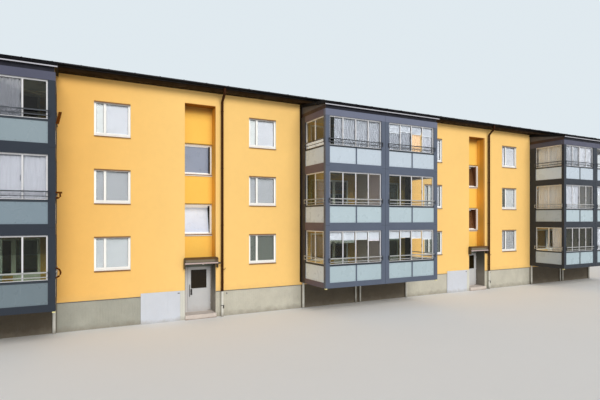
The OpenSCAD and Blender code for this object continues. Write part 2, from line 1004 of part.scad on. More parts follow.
// From the gutter through the swan neck and down the wall to the top of the base
module downpipes() {
    clip_in = 400;
    y_wall = y_front - pipe_out;
    aside = bend_r * (1 - cos(neck_a));
    down = bend_r * sin(neck_a);
    slant = (y_wall - gutter_y - 2 * aside) / sin(neck_a);
    top = gutter_z - gutter_r - seat;
    z_1 = soffit_z;
    z_2 = z_1 - down;
    z_3 = z_2 - slant * cos(neck_a);
    z_4 = z_3 - down;
    color("saddlebrown")
        for (s = section_starts)
            translate([s + pipe_x, 0, 0]) {
                translate([0, gutter_y, top]) pipe_run(top - z_1, top_collar = false);
                translate([0, gutter_y, z_1]) bend(neck_a);
                translate([0, gutter_y + aside, z_2]) rotate([neck_a, 0, 0]) pipe_run(slant);
                translate([0, y_wall, z_4]) mirror([0, 0, 1]) mirror([0, 1, 0]) bend(neck_a);
                translate([0, y_wall, z_4]) pipe_run(z_4 - plinth_h, foot_collar = false);
                for (k = [0 : storeys])
                    pipe_clip(y_wall, plinth_h + clip_in + k * (z_4 - plinth_h - 2 * clip_in) / storeys);
            }
}

// A band round the pipe with its stem into the wall
module pipe_clip(y, z) {
    band_t = 8;
    band_h = 40;
    stem_w = 24;
    translate([0, y, z]) cylinder(r = pipe_r + band_t, h = band_h);
    box([-stem_w / 2, stem_w / 2], [y, y_front], [z, z + stem_w]);
}

// Pale pipes by the ground: the downpipe's foot and the drains under the balconies
module drain_pipes() {
    inset = 95;
    pair_x = 145;
    pair_r = 40;
    y = y_front - drain_r - seat;
    color("lightgray") {
        for (s = section_starts)
            translate([s + pipe_x, y_front - pipe_out, 0]) cylinder(r = drain_r, h = plinth_h - seat);
        for (s = stacks, x = [s[0] + inset, s[1] - inset])
            translate([x, y, 0]) cylinder(r = drain_r, h = stack_z - seat);
        for (s = stacks, side = [-1, 1])
            if (is_double(s))
                translate([(s[0] + s[1]) / 2 + side * pair_x, y, 0])
                    cylinder(r = pair_r, h = slab_span(0)[0] - seat);
    }
}

// Entrances

// The canopy's outline from the front: a hood with round upper corners over two narrow cheeks
module canopy_outline(w, h, r) {
    difference() {
        translate([0, -cheek_h]) square([w, h + cheek_h]);
        for (x = [0, w - r])
            translate([x, h - r]) square(r);
        translate([cheek_w, -cheek_h - over]) square([w - 2 * cheek_w, cheek_h + over]);
    }
    for (x = [r, w - r])
        translate([x, h - r]) circle(r);
}

// The hood in front of the wall, with its lower run back through the recess
module canopies() {
    w = recess_w + 2 * canopy_lap;
    color("dimgray")
        for (x = recess_lefts) {
            translate([x - canopy_lap, y_front, transom_top])
                rotate([90, 0, 0])
                    linear_extrude(canopy_out)
                        canopy_outline(w, canopy_h, canopy_r);
            box([x, x + recess_w], [y_front - join, y_front + recess_d],
                [transom_top, transom_top + canopy_h - canopy_step]);
        }
}

module landings() {
    color("lightgray")
        for (x = recess_lefts)
            box([x, x + recess_w], [y_front - landing_out, well_y], [0, landing_z]);
}

// The door stands a little behind the recess's back wall
leaf_y = y_front + recess_d + 20;
function leaf_right(x) = x + recess_w - lining_t - jamb_w - leaf_gap;
function leaf_left(x) = leaf_right(x) - leaf_w;
sill_board = 25;
door_head_h = 60;
leaf_z = landing_z + sill_board + leaf_gap;
leaf_top = door_top - door_head_h;
stop_w = 20;
stop_d = 45;

// The hinges stand in front of the gap between leaf and jamb
hinge_h = 120;
hinge_in = 220;
hinge_zs = [leaf_z + hinge_in, (leaf_z + leaf_top - hinge_h) / 2, leaf_top - hinge_in - hinge_h];

// Half a hinge on its axis at the origin, with its plate on the side of the jamb
module hinge_half(z, h) {
    barrel_r = hinge_out - 2;
    plate_t = 6;
    plate_w = 36;
    translate([0, 0, z]) {
        cylinder(r = barrel_r, h = h);
        translate([0, -plate_t, 0]) cube([plate_w, plate_t, h]);
        translate([leaf_gap + 2, -plate_t, 0]) cube([plate_w - leaf_gap - 2, plate_t + hinge_out, h]);
    }
}

module door_frames() {
    color("gray")
        for (x = recess_lefts) {
            y = [leaf_y, leaf_y + leaf_t + leaf_gap + stop_d];
            hole = [leaf_left(x) - leaf_gap - latch_gap, leaf_right(x) + leaf_gap];
            difference() {
                box([x + lining_t, x + recess_w - lining_t], y, [landing_z, transom_top]);
                box(hole, [y[0] - over, y[0] + leaf_t + leaf_gap],
                    [landing_z + sill_board, leaf_top + leaf_gap]);
                box([hole[0] + stop_w, hole[1] - stop_w], [y[0], y[1] + over],
                    [landing_z + sill_board, leaf_top + leaf_gap - stop_w]);
            }
            translate([leaf_right(x), leaf_y - hinge_out, 0])
                for (z = hinge_zs)
                    hinge_half(z, hinge_h / 2 - seat);
        }
}

module porch_linings() {
    color("dimgray")
        for (x = recess_lefts, side = [x, x + recess_w - lining_t])
            box([side, side + lining_t], [y_front, well_y], [landing_z, transom_top]);
}

module door_leaf(x) {
    g = [leaf_right(x) - door_glass_edge - door_glass_w, leaf_right(x) - door_glass_edge];
    color("silver") {
        difference() {
            box([leaf_left(x), leaf_right(x)], [leaf_y, leaf_y + leaf_t], [leaf_z, leaf_top]);
            box(g, [leaf_y - over, leaf_y + leaf_t + over], [door_glass_z, door_glass_z + door_glass_h]);
        }
        door_pull(leaf_left(x) + pull_edge);
        translate([leaf_right(x), leaf_y - hinge_out, 0])
            mirror([1, 0, 0])
                for (z = hinge_zs)
                    hinge_half(z + hinge_h / 2, hinge_h / 2);
    }
}

// A straight pull on two studs
module door_pull(x) {
    pull_r = 12;
    stud_r = 8;
    stud_in = 60;
    reach = 55;
    pull_z = 900;
    translate([x, leaf_y - reach, pull_z]) cylinder(r = pull_r, h = pull_h);
    for (h = [stud_in, pull_h - stud_in])
        translate([x, leaf_y, pull_z + h]) rotate([90, 0, 0]) cylinder(r = stud_r, h = reach);
}

module door_pane(x) {
    pane_in = 15;
    sheet = 20;
    g = leaf_right(x) - door_glass_edge - door_glass_w;
    color("black")
        translate([g, leaf_y + pane_in, door_glass_z]) cube([door_glass_w, sheet, door_glass_h]);
}

module left_door_leaf() {
    door_leaf(recess_lefts[0]);
}

module left_door_glass() {
    door_pane(recess_lefts[0]);
}

module right_door_leaf() {
    door_leaf(recess_lefts[sections - 1]);
}

module right_door_glass() {
    door_pane(recess_lefts[sections - 1]);
}

// The smooth plate on the base wall beside each entrance, which laps over the render's foot
module plinth_plates() {
    color("whitesmoke")
        for (x = recess_lefts) {
            box([x - plate_w, x], [y_front - plate_t, y_front], [0, plinth_h + plate_lap]);
            box([x - plate_w, x], [y_front - join, y_front + plinth_set], [0, plinth_h]);
        }
}

foundation();
plinth_front();
plinth_rear();
hall_walls();
ground_floor();
upper_floors();
attic_floor();
front_walls();
back_wall();
end_walls();
recess_heads();
recess_cheeks();
stair_front_walls();
window_frames();
window_glass();
stair_sashes();
stair_glass();
window_sheets();
balcony_door_frames();
balcony_slabs();
balcony_posts();
balcony_beams();
balcony_panels();
balcony_caps();
balcony_rails();
balcony_glazing_frames();
balcony_glass();
balcony_screens();
balcony_roofs();
balcony_roof_sides();
main_roof();
verge_boards();
eave_boards();
gutters();
downpipes();
drain_pipes();
canopies();
landings();
door_frames();
porch_linings();
plinth_plates();
left_door_leaf();
left_door_glass();
right_door_leaf();
right_door_glass();
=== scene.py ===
"""The looks of a three-storey apartment block: rendered walls, glazed balcony stacks and stair entrances."""

import math
import random

import bmesh
import bpy
from mathutils import Euler, Matrix, Vector


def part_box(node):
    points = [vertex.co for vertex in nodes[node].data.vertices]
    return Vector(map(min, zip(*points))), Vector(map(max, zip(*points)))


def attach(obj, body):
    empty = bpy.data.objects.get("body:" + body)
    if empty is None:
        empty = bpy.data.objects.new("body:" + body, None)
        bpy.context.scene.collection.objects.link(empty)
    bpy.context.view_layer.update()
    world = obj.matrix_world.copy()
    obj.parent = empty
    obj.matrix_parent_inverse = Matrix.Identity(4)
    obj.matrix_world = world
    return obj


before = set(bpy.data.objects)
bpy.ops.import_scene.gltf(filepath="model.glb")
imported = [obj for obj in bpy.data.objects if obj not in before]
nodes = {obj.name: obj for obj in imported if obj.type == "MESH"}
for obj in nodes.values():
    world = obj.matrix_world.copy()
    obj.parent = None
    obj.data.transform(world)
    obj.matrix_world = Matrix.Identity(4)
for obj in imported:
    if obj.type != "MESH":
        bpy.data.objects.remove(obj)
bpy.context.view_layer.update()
scene = bpy.context.scene

# Sizes of the part in metres, as in its source. The street front faces -Y

SECTIONS = (-19.25, -1.7)
X_END = 19.25
Y_FRONT, Y_BACK = -5.5, 5.5
LEVELS = (1.45, 4.2, 6.95)
PLINTH_H, ATTIC_Z, SOFFIT_Z = 1.15, 9.7, 10.15
EAVE_Z, Y_EAVE = 10.45, 5.91
PITCH = math.radians(14)
RIDGE_Z = EAVE_Z + Y_EAVE * math.tan(PITCH)
GUTTER_Y, GUTTER_Z, GUTTER_R = -5.9753, 10.37, 0.065

WIN_W, WIN_H, SILL_H, WIN_TOP = 1.39, 1.415, 0.865, 2.28
REVEAL, FRAME_W, FRAME_D, NARROW_W = 0.07, 0.075, 0.08, 0.3
GLASS_Y = REVEAL + FRAME_D / 2
LIGHTS = ((FRAME_W, FRAME_W + NARROW_W), (2 * FRAME_W + NARROW_W, WIN_W - FRAME_W))
FRONT_COLUMNS = [s + x for s in SECTIONS for x in (4.72, 11.38)]
BACK_COLUMNS = [s + x for s in SECTIONS for x in (1.28, 4.72, 11.38, 14.82)] + [16.855]
BALCONY_DOOR_W = 0.9

RECESSES = [s + 8.365 for s in SECTIONS]
RECESS_W, RECESS_D, RECESS_TOP = 1.4, 0.6, 9.58
RECESS_BACK = Y_FRONT + RECESS_D
STAIR_WIN_Y = RECESS_BACK + 0.08
STAIR_SILLS, STAIR_WIN_H = (3.73, 6.48), 1.4
LEAF_Y = RECESS_BACK + 0.02
DOOR_TOP, TRANSOM_TOP = 2.3, 2.45
CANOPY_OUT, CANOPY_H = 0.22, 0.29
PIPES = [s + 10.04 for s in SECTIONS]

BAYS = [(-19.25, -15.85), (-5.1, -1.7), (-1.7, 1.7), (12.45, 15.85), (15.85, 19.25)]
STACKS = [(-19.25, -15.85), (-5.1, 1.7), (12.45, 19.25)]
BAY_W, BAY_D = 3.4, 2.38
STACK_Y = Y_FRONT - BAY_D
POST_W, POST_IN, WALL_POST_Y = 0.235, STACK_Y + 0.17, Y_FRONT - 0.43
PANEL_Z, PANEL_H, MULLION_W = 0.076, 0.75, 0.06
GLAZING_Z, GLAZING_TOPS = 0.876, (2.44, 2.44, 2.24)
TOP_BEAM_Z, BEAM_TOP, LIP_Z = 9.19, 9.48, 9.68
PANE_W = (BAY_W - 2 * POST_W - 0.05) / 4

# Limits in X between the stacks at the ends and the rest, and between the two sections
PAST_LEFT_STACK, BEFORE_RIGHT_STACK, BETWEEN_SECTIONS = -15.6, 12.0, -2.0


# Camera, fitted to the photo

camera_data = bpy.data.cameras.new("camera")
camera_data.lens = 27.02
camera_data.sensor_width = 36
camera_data.shift_y = 0.0315
camera = bpy.data.objects.new("camera", camera_data)
camera.location = (-15.548, -25.45, 4.45)
camera.rotation_euler = Euler((math.radians(90), 0, math.radians(-27.5)))
scene.collection.objects.link(camera)
scene.camera = camera


# Shader node groups

FLOAT, COLOR = "NodeSocketFloat", "NodeSocketColor"


def linear(value):
    """A screen value from 0 to 255 as a share of full light, by the usual screen curve."""
    share = value / 255
    if value <= 10:
        return share / 12.92
    return ((share + 0.055) / 1.055) ** 2.4


def paint(*values):
    """The linear colour of a paint that is written in screen values."""
    return tuple(linear(v) for v in values) + (1,)


class Net:
    """Short calls for building a node tree."""

    def __init__(self, tree):
        self.tree = tree

    def node(self, kind, **inputs):
        """A new node, with inputs set by number, as in _0, or by name, as in Slat_width."""
        n = self.tree.nodes.new(kind)
        for name, value in inputs.items():
            key = int(name[1:]) if name[1:].isdigit() else name.replace("_", " ")
            self.feed(n.inputs[key], value)
        return n

    def result(self, kind, **inputs):
        """The first output of a new node."""
        return self.node(kind, **inputs).outputs[0]

    def feed(self, socket, value):
        if isinstance(value, bpy.types.NodeSocket):
            self.tree.links.new(value, socket)
        else:
            socket.default_value = value

    def math(self, operation, a, b=0.5, clamp=False):
        n = self.node("ShaderNodeMath", _0=a, _1=b)
        n.operation = operation
        n.use_clamp = clamp
        return n.outputs[0]

    def add(self, a, b):
        return self.math("ADD", a, b)

    def less(self, a, b):
        return self.math("SUBTRACT", a, b)

    def times(self, a, b):
        return self.math("MULTIPLY", a, b)

    def over(self, a, b):
        return self.math("DIVIDE", a, b)

    def spread(self, value, low, high, to_low, to_high):
        return self.result("ShaderNodeMapRange", _0=value, _1=low, _2=high, _3=to_low, _4=to_high)

    def mix(self, factor, a, b, blend="MIX"):
        n = self.tree.nodes.new("ShaderNodeMix")
        n.data_type = "RGBA"
        n.blend_type = blend
        self.feed(n.inputs[0], factor)
        self.feed(n.inputs[6], a)
        self.feed(n.inputs[7], b)
        return n.outputs[2]

    def place(self, scale=(1, 1, 1)):
        source = self.node("ShaderNodeTexCoord").outputs["Object"]
        return self.result("ShaderNodeMapping", Vector=source, Scale=scale)

    def vector(self, x=0.0, y=0.0, z=0.0):
        return self.result("ShaderNodeCombineXYZ", X=x, Y=y, Z=z)

    def parts(self, vector):
        """The X, Y and Z of a vector."""
        return self.node("ShaderNodeSeparateXYZ", Vector=vector).outputs

    def noise(self, vector, scale, detail=3.0, roughness=0.55):
        return self.result(
            "ShaderNodeTexNoise", Vector=vector, Scale=scale, Detail=detail, Roughness=roughness)


def effect(name, result, **inputs):
    """A shader group with named inputs and one output. Returns it, its net, its inputs and its output."""
    tree = bpy.data.node_groups.new(name, "ShaderNodeTree")
    for label, value in inputs.items():
        kind = COLOR if isinstance(value, tuple) else FLOAT
        tree.interface.new_socket(label, in_out="INPUT", socket_type=kind).default_value = value
    kind = COLOR if result == "Colour" else FLOAT
    tree.interface.new_socket(result, in_out="OUTPUT", socket_type=kind)
    given, out = tree.nodes.new("NodeGroupInput"), tree.nodes.new("NodeGroupOutput")
    return tree, Net(tree), given.outputs, out.inputs[0]


def make_mottle():
    """Uneven tone in large patches and small spots."""
    tree, net, given, out = effect("mottle", "Colour", Colour=(1, 1, 1, 1), Amount=0.1, Patch=1.0)
    place = net.place()
    scale = net.over(1.0, given["Patch"])
    patches = net.noise(place, scale, 4.0)
    spots = net.noise(place, net.times(scale, 11.0), 3.0)
    tone = net.add(net.times(patches, 0.7), net.times(spots, 0.3))
    swing = net.times(net.less(tone, 0.5), net.times(given["Amount"], 4.0))
    level = net.add(swing, 1.0)
    grey = net.result("ShaderNodeCombineColor", _0=level, _1=level, _2=level)
    net.feed(out, net.mix(1.0, given["Colour"], grey, "MULTIPLY"))
    return tree


def make_streaks():
    """Upright marks that rain leaves, as a mask from 0 to 1."""
    tree, net, given, out = effect("rain_streaks", "Mask", Width=0.06, Length=1.5, Cover=0.4)
    x, y, z = net.parts(net.place())
    across = net.over(net.add(x, y), given["Width"])
    fine = net.noise(net.vector(across, 0.0, net.over(z, given["Length"])), 1.0, 3.0)
    wide = net.noise(net.place(), 0.45, 2.0)
    value = net.add(net.times(fine, 0.7), net.times(wide, 0.3))
    edge = net.less(0.8, net.times(given["Cover"], 0.5))
    net.feed(out, net.spread(value, edge, 0.85, 0.0, 1.0))
    return tree


def make_splash():
    """Dirt thrown up from the ground: 1 at the foot, 0 above the given height, with a ragged edge."""
    tree, net, given, out = effect("ground_splash", "Mask", Foot=0.0, Height=0.4)
    height = net.parts(net.place())[2]
    rise = net.over(net.less(height, given["Foot"]), given["Height"])
    rag = net.spread(net.noise(net.place(), 3.5, 5.0), 0.3, 0.7, -0.35, 0.35)
    net.feed(out, net.spread(net.add(rise, rag), 0.0, 1.0, 1.0, 0.0))
    return tree


def make_grain():
    """A fine even grain of the given size in metres, with pits, as a height."""
    tree, net, given, out = effect("grain", "Height", Size=0.01, Pits=0.0)
    scale = net.over(1.0, given["Size"])
    grains = net.noise(net.place(), scale, 2.0, 0.6)
    cells = net.node("ShaderNodeTexVoronoi", Vector=net.place(), Scale=net.times(scale, 0.35))
    pits = net.spread(cells.outputs["Distance"], 0.0, 0.22, 1.0, 0.0)
    net.feed(out, net.less(grains, net.times(pits, given["Pits"])))
    return tree


def make_joints():
    """Joints at a given spacing, as a mask that is 1 in the joint."""
    tree, net, given, out = effect("joints", "Mask", Position=0.0, Spacing=0.1, Width=0.008)
    cell = net.math("FRACT", net.over(given["Position"], given["Spacing"]))
    gap = net.times(net.math("ABSOLUTE", net.less(cell, 0.5)), given["Spacing"])
    net.feed(out, net.spread(gap, net.times(given["Width"], 0.3), given["Width"], 1.0, 0.0))
    return tree


MOTTLE, STREAKS, SPLASH = make_mottle(), make_streaks(), make_splash()
GRAIN, JOINTS = make_grain(), make_joints()


# Materials


class Finish:
    """One material on a Principled shader, with calls for what its surface shows. Rough comes last."""

    def __init__(self, name, colour, roughness, metallic=0.0, specular=0.5):
        self.material = bpy.data.materials.new(name)
        self.material.use_nodes = True
        self.net = Net(self.material.node_tree)
        self.shader = self.material.node_tree.nodes["Principled BSDF"]
        self.set(Roughness=roughness, Metallic=metallic, Specular_IOR_Level=specular)
        self.set_colour(colour)
        self.position = None

    def set(self, **values):
        for name, value in values.items():
            self.net.feed(self.shader.inputs[name.replace("_", " ")], value)
        return self

    def set_colour(self, colour):
        self.colour = colour
        return self.set(Base_Color=colour)

    def group(self, tree, **inputs):
        n = self.net.tree.nodes.new("ShaderNodeGroup")
        n.node_tree = tree
        for name, value in inputs.items():
            self.net.feed(n.inputs[name], value)
        return n.outputs[0]

    def mottle(self, amount, patch):
        return self.set_colour(self.group(MOTTLE, Colour=self.colour, Amount=amount, Patch=patch))

    def tint(self, mask, colour, strength=1.0):
        share = self.net.math("MULTIPLY", mask, strength, True)
        return self.set_colour(self.net.mix(share, self.colour, colour))

    def streaks(self, colour, strength, width, length, cover):
        return self.tint(self.group(STREAKS, Width=width, Length=length, Cover=cover), colour, strength)

    def splash(self, colour, strength, foot, height):
        return self.tint(self.group(SPLASH, Foot=foot, Height=height), colour, strength)

    def bump(self, height, distance):
        """Raises the surface, on top of what the bumps before it raise."""
        n = self.net.node("ShaderNodeBump", Height=height, Distance=distance, Strength=1.0)
        normal = self.shader.inputs["Normal"]
        if normal.is_linked:
            self.net.feed(n.inputs["Normal"], normal.links[0].from_socket)
        return self.set(Normal=n.outputs[0])

    def grain(self, size, distance, pits=0.0):
        return self.bump(self.group(GRAIN, Size=size, Pits=pits), distance)

    def joints(self, index, spacing, width, distance):
        mask = self.group(JOINTS, Position=self.axis(index), Spacing=spacing, Width=width)
        return self.bump(mask, distance)

    def waves(self, distance, scale, detail=1.0):
        """Low waves, as in glass."""
        return self.bump(self.net.noise(self.net.place(), scale, detail), distance)

    def brushed(self, distance, across, along, detail=3.0):
        """Fine marks, finer across than along, where along is upright."""
        return self.bump(self.net.noise(self.net.place((across, across, along)), 1.0, detail), distance)

    def rough(self, low, high, size):
        """Uneven roughness between two values. Returns the finished material."""
        value = self.net.noise(self.net.place(), 1.0 / size, 3.0)
        self.set(Roughness=self.net.spread(value, 0.35, 0.65, low, high))
        return self.material

    def axis(self, index):
        if self.position is None:
            self.position = self.net.parts(self.net.place())
        return self.position[index]

    def above(self, index, limit, soft=0.002):
        """A mask that is 1 where the given coordinate is over the limit."""
        return self.net.spread(self.axis(index), limit - soft, limit + soft, 0.0, 1.0)

    def below(self, index, limit, soft=0.002):
        return self.net.less(1.0, self.above(index, limit, soft))

    def within(self, index, low, high, soft=0.002):
        return self.net.times(self.above(index, low, soft), self.below(index, high, soft))

    def meet(self, first, *others):
        """A mask that is 1 where all the given ones are."""
        for other in others:
            first = self.net.times(first, other)
        return first


# The axes as the masks number them
X, Y, Z = 0, 1, 2
# The tone that white sashes take at their right edge in the second recess
BROWN_SHADE = paint(104, 70, 46)


def yellow_render():
    """Rendered wall with painted shade: more orange near the left end beside the left stack, deeper in tone
    in the recesses, dark at their tops.
    """
    f = Finish("yellow_render", paint(252, 208, 129), 0.9, specular=0.2)
    # Painted shade beside the left stack
    f.tint(f.below(X, -13.4, 2.4), paint(248, 194, 108))
    behind = RECESS_BACK + 0.7
    # Painted shade on the sides of the recesses, deepest towards their tops
    inside = f.within(Y, Y_FRONT + 0.09, behind)
    f.tint(inside, paint(246, 192, 88))
    f.tint(f.meet(inside, f.above(Z, 7.8, 1.4)), paint(224, 168, 66))
    second_back = f.meet(f.within(Y, RECESS_BACK - 0.2, behind), f.above(X, 0))
    f.tint(second_back, paint(255, 204, 92))
    # Painted shadow under the heads of the recesses
    f.tint(f.meet(inside, f.above(Z, RECESS_TOP - 0.06, 0.06)), paint(140, 88, 10), 0.95)
    f.mottle(0.045, 2.2)
    f.streaks(paint(238, 184, 104), 0.4, 0.09, 1.8, 0.35)
    f.splash(paint(214, 178, 118), 0.3, PLINTH_H, 0.3)
    f.grain(0.011, 0.004)
    return f.rough(0.84, 0.95, 0.4)


def recess_render():
    """The render at the back of the recesses, more saturated than the front, with painted shade near its top
    under the heads.
    """
    f = Finish("recess_render", paint(254, 204, 98), 0.9, specular=0.2)
    # Painted shade under the heads of the recesses
    f.tint(f.above(Z, ATTIC_Z - 0.34, 0.14), paint(150, 100, 44), 0.8)
    f.mottle(0.05, 1.1)
    f.streaks(paint(238, 172, 78), 0.4, 0.07, 1.4, 0.3)
    f.grain(0.011, 0.004)
    return f.rough(0.84, 0.95, 0.4)


def base_concrete():
    """The board-marked base: duller left of the first entrance, and dark with painted shade under the
    balconies of the front.
    """
    f = Finish("base_concrete", paint(196, 193, 179), 0.9, specular=0.25)
    f.tint(f.below(X, RECESSES[0] - 1.8, 0.1), paint(167, 167, 156), 0.95)
    # Painted shade under the balconies of the front
    front = f.below(Y, 0.0)
    for left, right in STACKS:
        f.tint(f.meet(front, f.within(X, left, right, 0.03)), paint(92, 82, 68), 0.92)
    f.mottle(0.13, 0.6)
    f.streaks(paint(134, 132, 124), 0.5, 0.05, 0.5, 0.45)
    f.splash(paint(136, 128, 114), 0.6, 0.0, 0.25)
    f.joints(X, 0.105, 0.009, -0.004)
    f.grain(0.014, 0.006, 0.5)
    return f.rough(0.8, 0.95, 0.2)


def smooth_plate():
    """The plate beside each entrance: its right part yellowish, with two joints in it."""
    f = Finish("smooth_plate", paint(206, 211, 220), 0.55, specular=0.4)
    for x in RECESSES:
        f.tint(f.within(X, x - 0.2, x), paint(212, 212, 202))
        for joint in (0.2, 0.12):
            f.tint(f.within(X, x - joint - 0.012, x - joint), paint(176, 176, 170), 0.8)
    f.mottle(0.05, 0.8)
    f.streaks(paint(178, 180, 182), 0.4, 0.12, 0.8, 0.4)
    f.splash(paint(160, 154, 142), 0.6, 0.0, 0.2)
    f.joints(X, 0.93, 0.006, -0.003)
    f.grain(0.02, 0.0006)
    return f.rough(0.45, 0.65, 0.5)


def painted(name, colour, roughness, amount, patch, specular=0.5):
    """An even coat of paint with a slight ripple and worn tone."""
    f = Finish(name, colour, roughness, specular=specular).mottle(amount, patch).grain(0.03, 0.0004)
    return f.rough(roughness * 0.85, min(roughness * 1.25, 1), 0.25)


def sheet(name, colour, roughness, metallic=0.35, dirt=paint(70, 64, 58), specular=0.5):
    """Coated sheet metal with streaks of dirt."""
    f = Finish(name, colour, roughness, metallic, specular)
    f.mottle(0.12, 0.5)
    f.streaks(dirt, 0.35, 0.05, 0.4, 0.4)
    f.grain(0.04, 0.0006)
    return f.rough(roughness * 0.8, roughness * 1.3, 0.2)


def white_paint():
    """White window paint. The right stiles of the second recess's windows are in brown shade."""
    f = Finish("white_paint", paint(255, 255, 251), 0.42)
    right = RECESSES[1] + RECESS_W
    stile = f.meet(f.within(X, right - 0.1, right), f.within(Y, RECESS_BACK, RECESS_BACK + 0.2))
    for sill in STAIR_SILLS:
        f.tint(f.meet(stile, f.within(Z, sill + 0.07, sill + STAIR_WIN_H - 0.06)), BROWN_SHADE)
    f.mottle(0.03, 0.5)
    f.streaks(paint(206, 203, 194), 0.35, 0.03, 0.3, 0.35)
    f.grain(0.012, 0.0004)
    return f.rough(0.34, 0.52, 0.2)


def glowing_sash_paint():
    """White paint of the stair sashes, which glows a little as painted light: dark at the right edges in the
    first recess, in painted brown shade there in the second.
    """
    f = Finish("glowing_sash_paint", paint(252, 251, 248), 0.42)
    f.tint(f.within(X, RECESSES[0] + 1.28, RECESSES[0] + RECESS_W), paint(40, 36, 30))
    # Painted brown shade at the right edge in the second recess
    f.tint(f.within(X, RECESSES[1] + 1.28, RECESSES[1] + 1.36), BROWN_SHADE)
    f.mottle(0.03, 0.3)
    f.grain(0.012, 0.0004)
    # A faint glow, painted light that lifts the white out of the recess shade
    f.set(Emission_Color=f.colour, Emission_Strength=0.3)
    return f.rough(0.35, 0.52, 0.1)


def blue_grey_paint():
    """Frame paint with painted light and shade: paler on the top beams, brownish on the sides, darker on the
    stacks at both ends and on the wall posts.
    """
    f = Finish("blue_grey_paint", paint(88, 97, 114), 0.4, specular=0.35)
    # Painted light on the top beams
    top = f.above(Z, TOP_BEAM_Z, 0.004)
    f.tint(top, paint(108, 114, 134))
    # Painted shade: brownish on the sides, dark on the wall posts
    f.tint(f.within(Y, POST_IN + 0.001, WALL_POST_Y - 0.001), paint(98, 88, 103))
    f.tint(f.above(Y, WALL_POST_Y - 0.001), paint(56, 56, 64))
    # Painted shade on the stacks at both ends
    for end in (f.below(X, PAST_LEFT_STACK), f.above(X, BEFORE_RIGHT_STACK)):
        f.tint(end, paint(43, 50, 60))
        f.tint(f.meet(end, top), paint(82, 84, 102))
    f.mottle(0.08, 0.9)
    f.streaks(paint(56, 60, 72), 0.4, 0.04, 0.5, 0.45)
    f.grain(0.03, 0.0004)
    return f.rough(0.34, 0.5, 0.25)


def parapet_board():
    """Pale enamelled boards with painted reflections and light: duller from storey to storey down and on the
    left stack, pale on the returns.
    """
    f = Finish("parapet_board", paint(192, 205, 217), 0.3, specular=0.6)
    # Painted reflection: duller on the left stack and on the lower storeys
    left_stack = f.below(X, PAST_LEFT_STACK)
    f.tint(left_stack, paint(138, 154, 162))
    for storey, tone, left_tone in (
        (1, paint(180, 198, 206), paint(123, 140, 151)),
        (0, paint(171, 190, 198), paint(109, 124, 132)),
    ):
        low = f.below(Z, LEVELS[storey] + 1)
        f.tint(low, tone)
        f.tint(f.meet(low, left_stack), left_tone)
    # Painted light on the returns
    side = f.above(Y, POST_IN + 0.001)
    f.tint(side, paint(217, 234, 250))
    f.tint(f.meet(side, f.above(X, BEFORE_RIGHT_STACK), f.below(Z, LEVELS[1] + 1)), paint(180, 198, 214))
    f.mottle(0.05, 1.4)
    f.streaks(paint(164, 176, 182), 0.35, 0.07, 0.6, 0.4)
    f.grain(0.05, 0.0008)
    return f.rough(0.22, 0.4, 0.6)


def cladding():
    """Sheet between the top beams and the balcony roofs: near black in front and brown low on the sides, as
    painted shade.
    """
    f = Finish("roof_side_sheet", paint(96, 94, 98), 0.5, 0.2)
    # Painted shade: brown low on the sides, near black in front
    f.tint(f.below(Z, LIP_Z - 0.01, 0.01), paint(66, 48, 44))
    f.tint(f.below(Y, STACK_Y + 0.045), paint(30, 30, 42))
    return f.mottle(0.1, 0.5).grain(0.04, 0.0006).rough(0.4, 0.6, 0.2)


def pale_profiles():
    """Brushed metal of the balcony glazing, whiter on the returns as painted light."""
    f = Finish("pale_profiles", paint(226, 226, 228), 0.4, 0.1)
    # Painted light on the returns
    f.tint(f.above(Y, POST_IN + 0.001), paint(255, 252, 244))
    return f.mottle(0.04, 0.3).brushed(0.0003, 60, 3, 2.0).rough(0.32, 0.5, 0.15)


def rail_metal():
    """Grey bars with painted light and shade: dark on the top storey and on the left stack's middle one,
    bright on the others, dark over the posts.
    """
    f = Finish("rail_metal", paint(74, 78, 84), 0.4, 0.2)
    # Painted light on the lower storeys, with painted shade on the left stack's middle one
    f.tint(f.below(Z, LEVELS[2]), paint(176, 178, 178))
    f.tint(f.meet(f.within(Z, LEVELS[1], LEVELS[2]), f.below(X, PAST_LEFT_STACK)), paint(74, 78, 84))
    # Painted shade over the posts
    for left, right in BAYS:
        for low, high in ((left, left + POST_W + 0.01), (right - POST_W - 0.01, right)):
            f.tint(f.within(X, low, high), paint(40, 42, 50))
    return f.mottle(0.1, 0.3).grain(0.02, 0.0004).rough(0.3, 0.5, 0.1)


def canopy_sheet():
    """Bent sheet with a dark upper edge and dark ends."""
    f = Finish("canopy_sheet", paint(122, 112, 92), 0.5, 0.1)
    f.tint(f.above(Z, TRANSOM_TOP + CANOPY_H - 0.1, 0.02), paint(92, 62, 14), 0.95)
    for x in RECESSES:
        f.tint(f.within(X, x + RECESS_W - 0.1, x + RECESS_W + 0.3, 0.05), paint(72, 52, 34), 0.8)
        f.tint(f.within(X, x - 0.3, x - 0.01, 0.02), paint(58, 48, 34), 0.85)
    f.mottle(0.1, 0.25)
    f.streaks(paint(96, 86, 76), 0.4, 0.04, 0.3, 0.45)
    f.grain(0.03, 0.0006)
    return f.rough(0.4, 0.6, 0.15)


def door_paint(name):
    """Light grey door paint, a little dirty at the foot."""
    f = Finish(name, paint(200, 201, 202), 0.45)
    return f.mottle(0.04, 0.5).splash(paint(182, 176, 172), 0.5, 0.2, 0.3)


def leaf_paint():
    """The leaf's paint, with its pull in front of the face in dark metal."""
    f = door_paint("leaf_paint")
    for x in RECESSES:
        f.tint(f.meet(f.below(Y, LEAF_Y - 0.004, 0.001), f.within(X, x, x + 0.7)), paint(64, 62, 60))
    return f.brushed(0.0004, 50, 2).rough(0.38, 0.56, 0.15)


